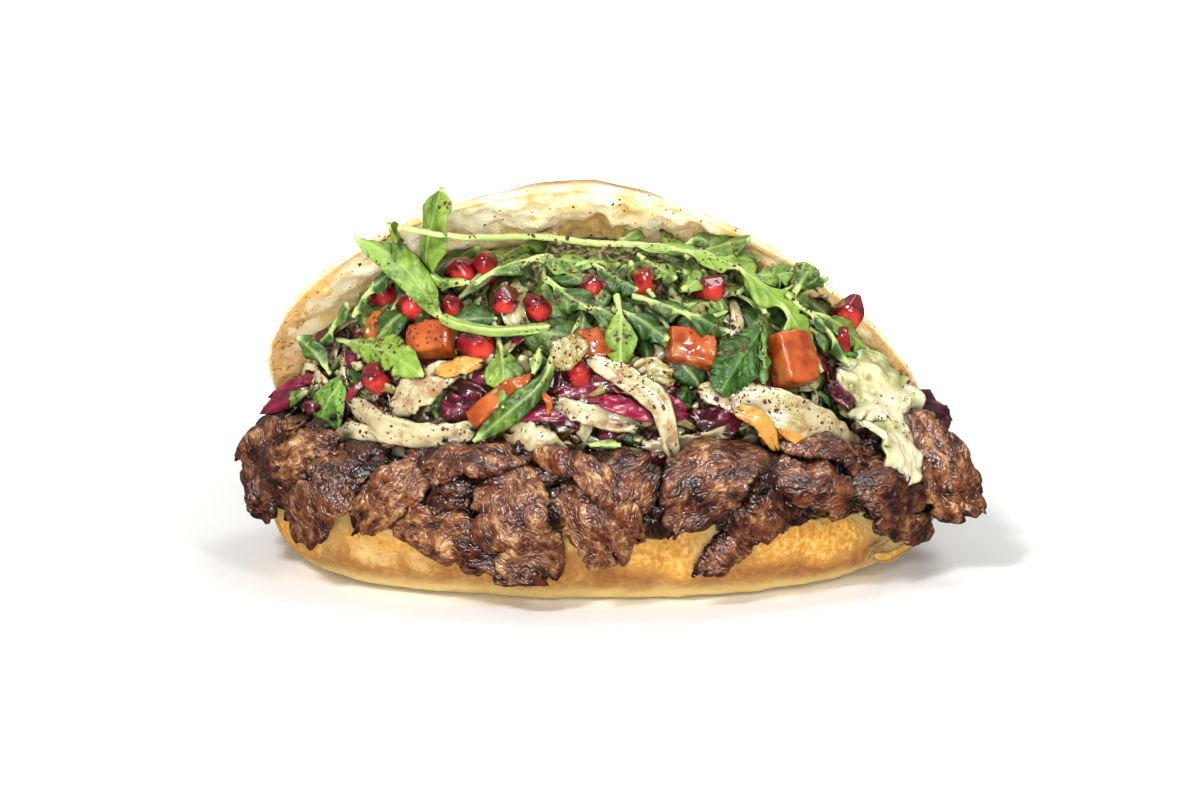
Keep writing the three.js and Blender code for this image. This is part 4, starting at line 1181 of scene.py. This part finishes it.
def scattered_leaves(count, seed, heights, length, width, lift, lobes):
    """Small leaves and bits of leaf laid at random on the mound, any way round."""
    random = np.random.default_rng(seed)
    made = []
    for k in range(count):
        path = strewn_path(random, 70, heights, length, lift, lambda r: r.uniform(0, 6.28), 4)
        reach = rocket_width(random.uniform(*width), 0.1, random.integers(*lobes), k)
        if not behind_lid(path):
            made.append(leaf(path, reach, 1000 * seed + k, 32, 7, wave=1.6))
    return made


# More leaves that show: path, blade width, share that is bare stalk, pairs of side lobes.
MORE_ROCKET = [
    ([M(-44, 84, 9), M(-41, 82, 9), M(-32, 82, 8)], 4, 0, 0),
    ([M(10, 80, 9), M(22, 76, 10), M(35, 71, 9)], 9, 0.1, 2),
    ([M(-13, 69, 9), M(-14, 66, 10), M(-15, 63, 9)], 3, 0, 0),
    ([M(-77, 52, 6), M(-83, 47, 8), M(-90, 42, 9)], 7, 0, 0),
    ([M(-64, 77, 5), M(-62, 73, 6), M(-60, 69, 6)], 7, 0, 1),
    ([M(49, 78, 9), M(54, 79, 10), M(62, 79, 9)], 5, 0.1, 0),
    ([M(51, 74, 8), M(53, 76, 9), M(56, 78, 8)], 8, 0, 0),
    ([M(56, 70, 9), M(59, 68, 9), M(63, 65, 8)], 8, 0.1, 1),
    ([M(23, 81, 8), M(26, 82, 9), M(29, 85, 8)], 7, 0, 0),
    ([M(79, 55, 7), M(83, 51, 7), M(88, 46, 7)], 4, 0, 0),
    ([M(5, 77, 10), M(12, 74, 11), M(19, 70, 10)], 8, 0.1, 1),
    ([M(7, 93, 6), M(10, 94, 6), M(13, 96, 5)], 6, 0, 0),
    ([M(-1, 47, 9), M(3, 47, 9), M(7, 47, 9)], 3, 0, 0),
    ([M(16, 40, 9), M(20, 41, 9), M(23, 42, 9)], 3, 0, 0),
    ([M(24, 90, 8), M(28, 91, 9), M(34, 88, 8)], 8, 0, 1),
    ([M(34, 86, 8), M(38, 87, 9), M(44, 86, 8)], 8, 0, 1),
    ([M(40, 83, 8), M(45, 82, 9), M(50, 83, 8)], 8, 0, 1),
    ([M(0, 88, 6), M(6, 84, 8), M(12, 82, 7)], 9, 0, 1),
    ([M(12, 90, 6), M(17, 86, 8), M(22, 84, 7)], 9, 0, 1),
    ([M(-6, 82, 6), M(0, 80, 7), M(4, 84, 7)], 7, 0, 0),
    ([M(16, 80, 7), M(12, 84, 8), M(10, 88, 7)], 6, 0, 1),
    ([M(49, 77, 11), M(58, 70, 11), M(66, 60, 10)], 6, 0, 3),
    ([(-79, -22, 66), (-74, -25, 73), (-70, -27, 80)], 8, 0, 2),
    ([(-75, -27, 59), (-80, -25, 65), (-85, -22, 69)], 7, 0, 1),
    ([(-68, -29, 76), (-64, -30, 83), (-57, -30, 89)], 8, 0, 2),
    ([M(37, 87, 9), M(42, 80, 10), M(44, 74, 10)], 5.5, 0, 1),
]
MORE_HERBS = [
    ([M(63, 64, 8), M(69, 62, 8), M(77, 59, 7)], 7, 0.1, 1),
    ([M(43, 70, 10), M(43, 64, 11), M(43, 59, 10)], 5, 0, 3),
]


# More shreds that show, by their paint: path, width, thickness, tone.
MORE_SHREDS = {
    "white": [
        ([M(-10, 65, 8), M(-6, 68, 10), M(-3, 71, 8)], 8, 3, -0.5),
        ([M(-70, 42, 6), M(-61, 46, 8), M(-52, 44, 7)], 5, 2, 0.3),
        ([M(-22, 49, 6), M(-16, 48, 8), M(-8, 45, 7)], 8, 1.6, 0.2),
        ([M(-20, 98, 2), M(-14, 97, 3), M(-9, 95, 2)], 3, 1.2, 0),
        ([M(10, 62, 8), M(15, 64, 9), M(20, 62, 8)], 6, 1.5, -0.8),
    ],
    "red": [
        ([(-97, -8, 44), (-90, -12, 48), (-82, -14, 52)], 5, 2.4, -0.2),
        ([(-95, -6, 48), (-88, -10, 52), (-80, -13, 56)], 4, 2.4, 0.6),
        ([M(-20, 53, 7), M(-14, 54, 8), M(-8, 53, 7)], 4, 1.6, 0.7),
        ([M(2, 57, 9), M(12, 55, 9), M(21, 52, 7)], 5, 1.4, 0.9),
        ([M(4, 61, 8), M(14, 59, 8), M(24, 54, 6)], 5, 1.4, 0.3),
    ],
    "golden": [
        ([M(-13, 59, 9), M(-11, 57, 10), M(-11, 54, 8)], 1.6, 1.2, -1.6),
        ([M(-22, 58, 8), M(-19, 60, 9), M(-16, 62, 8)], 5, 2.4, -2.4),
        ([M(36, 54, 11), M(41, 51, 13), M(45, 45, 12)], 5, 1.4, 1.2),
        ([M(46, 49, 12), M(52, 45, 13), M(61, 39, 12)], 3, 1.4, 0.6),
        ([M(-60, 42, 6), M(-51, 46, 8), M(-44, 47, 6)], 4, 1.8, 1.4),
        ([M(-40, 62, 8), M(-34, 64, 9), M(-29, 65, 8)], 5, 1.2, 1.2),
    ],
}


def extra_shreds(kind):
    table = enumerate(MORE_SHREDS[kind])
    return [shred(path, width, thick, 800 + k, 44, 14, 0.8, tone) for k, (path, width, thick, tone) in table]


def extra_leaf(seed, path, width, stalk, lobes):
    return leaf(path, rocket_width(width, stalk, lobes, seed), 900 + seed, 44, 11)


def make_salad(white, red, pale, rocket, herb):
    core = lumpy_core(*MOUND, low=40, high=96, size=6, height=2.2, back=lid_front)
    piece("salad_core", [core], core_material(), "salad", "salad")
    cream = scattered_shreds(110, 31, (42, 74), (9, 28), (1.8, 4.5), 1.1, (0, 4.5))
    piece("salad_cabbage", cream + extra_shreds("white"), white, "white_cabbage", "salad")
    magenta = scattered_shreds(120, 32, (42, 72), (6, 22), (1.5, 4.5), 0.9, (0.5, 5))
    piece("salad_red_cabbage", magenta + extra_shreds("red"), red, "red_cabbage", "salad")
    golden = cabbage_material("golden", "#b4520f", "#cf9440", "#d8ac62", "#6e3410")
    piece("salad_golden", extra_shreds("golden"), golden, "salad", "salad")
    light = crumbs(np.random.default_rng(38), 150, around_mound, 70, (44, 92), (1, 4), (2, 6))
    light += scattered_shreds(60, 33, (44, 84), (8, 20), (3, 6), 0.7, (0, 4))
    piece("salad_lettuce", light, pale, "lettuce", "salad")
    greens = scattered_leaves(84, 34, (66, 90), (14, 34), (7, 13), (0.5, 5), (1, 4))
    greens += scattered_leaves(50, 35, (44, 70), (6, 16), (3, 7), (0.5, 4.5), (0, 2))
    greens += [extra_leaf(k, *kind) for k, kind in enumerate(MORE_ROCKET)]
    piece("salad_rocket", greens, rocket, "rocket", "salad")
    herbs = scattered_leaves(50, 36, (44, 86), (6, 16), (4, 9), (1, 4.5), (0, 1))
    herbs += [extra_leaf(50 + k, *kind) for k, kind in enumerate(MORE_HERBS)]
    piece("salad_herbs", herbs, herb, "leaf", "salad")


FLAKES = 3900
FLAKE_SIZES = {0.24: 0.46, 0.38: 0.34, 0.58: 0.16, 0.9: 0.04}  # radius in mm, and the share of each
FLAKES_FROM = 0.044  # height, in metres, under which none lies
FALL_Y, FALL_RISE = -160, 90  # where the rays that place them start: y, and how far up


def make_flakes():
    """Sumac over the salad and the edges of the bread, in drifts, each flake a small bent plate."""
    random = np.random.default_rng(77)
    points, faces, share, start = [], [], [], 0
    for made in bpy.data.objects:
        if made.type != "MESH" or made.hide_render or made.name.startswith("meat"):
            continue
        place = np.empty(3 * len(made.data.vertices))
        made.data.vertices.foreach_get("co", place)
        points.append(place.reshape(-1, 3))
        faces += [[start + i for i in p.vertices] for p in made.data.polygons]
        share += [-0.6 if "cabbage" in made.name else 0.25] * len(made.data.polygons)
        start += len(place) // 3
    tree = BVHTree.FromPolygons(np.concatenate(points).tolist(), faces)
    turn = np.linspace(0, 2 * np.pi, 5, endpoint=False)
    bodies = []
    while len(bodies) < FLAKES:
        x, z = random.uniform(-88, 92), random.uniform(38, 104)
        source = (np.array([x, FALL_Y, z + FALL_RISE]) + SHIFT) * MM
        aim = unit(np.array([0, 1.0, -random.uniform(0.45, 0.9)]))
        hit, normal, face, _ = tree.ray_cast(source.tolist(), aim.tolist())
        if hit is None or hit.z < FLAKES_FROM:
            continue
        centre = np.array(hit) / MM - SHIFT
        drift = noise(centre, 9, 40, 2) + 0.5 * noise(centre, 3, 41)
        if drift < random.uniform(-0.5, 0.9) + share[face]:
            continue
        normal = np.array(normal)
        side = unit(np.cross(normal, random.normal(size=3)))
        over = np.cross(normal, side) * random.uniform(0.4, 0.9)
        size = random.choice(list(FLAKE_SIZES), p=list(FLAKE_SIZES.values()))
        ring = np.cos(turn)[:, None] * side + np.sin(turn)[:, None] * over
        ring = size * random.uniform(0.6, 1.2, 5)[:, None] * ring
        bodies.append(turned_sheet(np.stack([centre + ring, centre + 0.6 * ring + 0.3 * size * normal])))
    piece("sumac_flakes", bodies, flake_material(), "meat", "salad")


# ---- stage


def floor_material():
    """Pale, and whiter away from the sandwich, as a swept studio floor."""
    paint = Paint("floor", Emission_Color="#ffffff")
    away = paint.add("ShaderNodeVectorMath", paint.place, operation="LENGTH").outputs["Value"]
    paint.set(paint.shader, Emission_Strength=paint.step(away, 0.1, 0.5))
    return paint.finish("#f6f6f4", 0.9)


def make_stage():
    reach = 30.0  # metres
    floor_mesh = bpy.data.meshes.new("floor")
    corners = [(-reach, -reach, 0), (reach, -reach, 0), (reach, reach, 0), (-reach, reach, 0)]
    floor_mesh.from_pydata(corners, [], [(0, 1, 2, 3)])
    floor_mesh.materials.append(floor_material())
    floor = linked("floor", floor_mesh)
    floor.visible_glossy = False


def make_light(name, place, size, energy):
    """A square soft light at `place`, in metres, turned to the sandwich."""
    lamp = bpy.data.lights.new(name, "AREA")
    lamp.size = size
    lamp.energy = energy
    holder = linked(name, lamp)
    holder.location = place
    holder.rotation_euler = (Vector((0, 0, 0.05)) - holder.location).to_track_quat("-Z", "Y").to_euler()


def make_lights():
    make_light("key", (-0.45, -0.8, 0.9), 0.2, 10)
    make_light("glint", (0.55, -0.9, 0.75), 0.16, 4)
    make_light("front", (0.0, -1.4, 0.2), 0.6, 14)
    make_light("top", (0.35, 0.15, 1.1), 0.4, 3)


def make_room():
    """Light from all round, dim below and brighter above, in front of a white backdrop."""
    world = bpy.data.worlds.new("studio")
    bpy.context.scene.world = world
    world.use_nodes = True
    room = Nodes(world.node_tree)
    height = room.add("ShaderNodeSeparateXYZ", room.add("ShaderNodeTexCoord").outputs["Generated"])
    fade = room.add("ShaderNodeMapRange", height.outputs["Z"], -0.2, 0.6, 0.08, 0.42)
    light = room.tree.nodes["Background"]
    room.set(light, Color="#ffffff", Strength=fade.outputs[0])
    backdrop = room.add("ShaderNodeBackground", "#ffffff")
    seen = room.add("ShaderNodeLightPath").outputs["Is Camera Ray"]
    choice = room.add("ShaderNodeMixShader", seen, light.outputs[0], backdrop.outputs[0])
    room.set(room.tree.nodes["World Output"], Surface=choice.outputs[0])
    bpy.context.scene.view_settings.view_transform = "Standard"


def make_camera():
    data = bpy.data.cameras.new("camera")
    data.lens = CAMERA["lens"]
    data.sensor_width = CAMERA["sensor"]
    holder = linked("camera", data)
    down = math.radians(CAMERA["elevation"])
    forward = np.array([0, math.cos(down), -math.sin(down)])
    holder.location = (np.array(CAMERA["aim"]) - forward * CAMERA["distance"] + SHIFT) * MM
    holder.rotation_euler = (math.pi / 2 - down, 0, 0)
    bpy.context.scene.camera = holder


make_camera()
make_stage()
make_lights()
make_room()
make_bread()
make_meat()
rocket_green, herb_green = make_leaves()
white_paint, red_paint, pale_paint = make_cabbage()
make_seeds()
make_tomato()
make_salad(white_paint, red_paint, pale_paint, rocket_green, herb_green)
make_flakes()
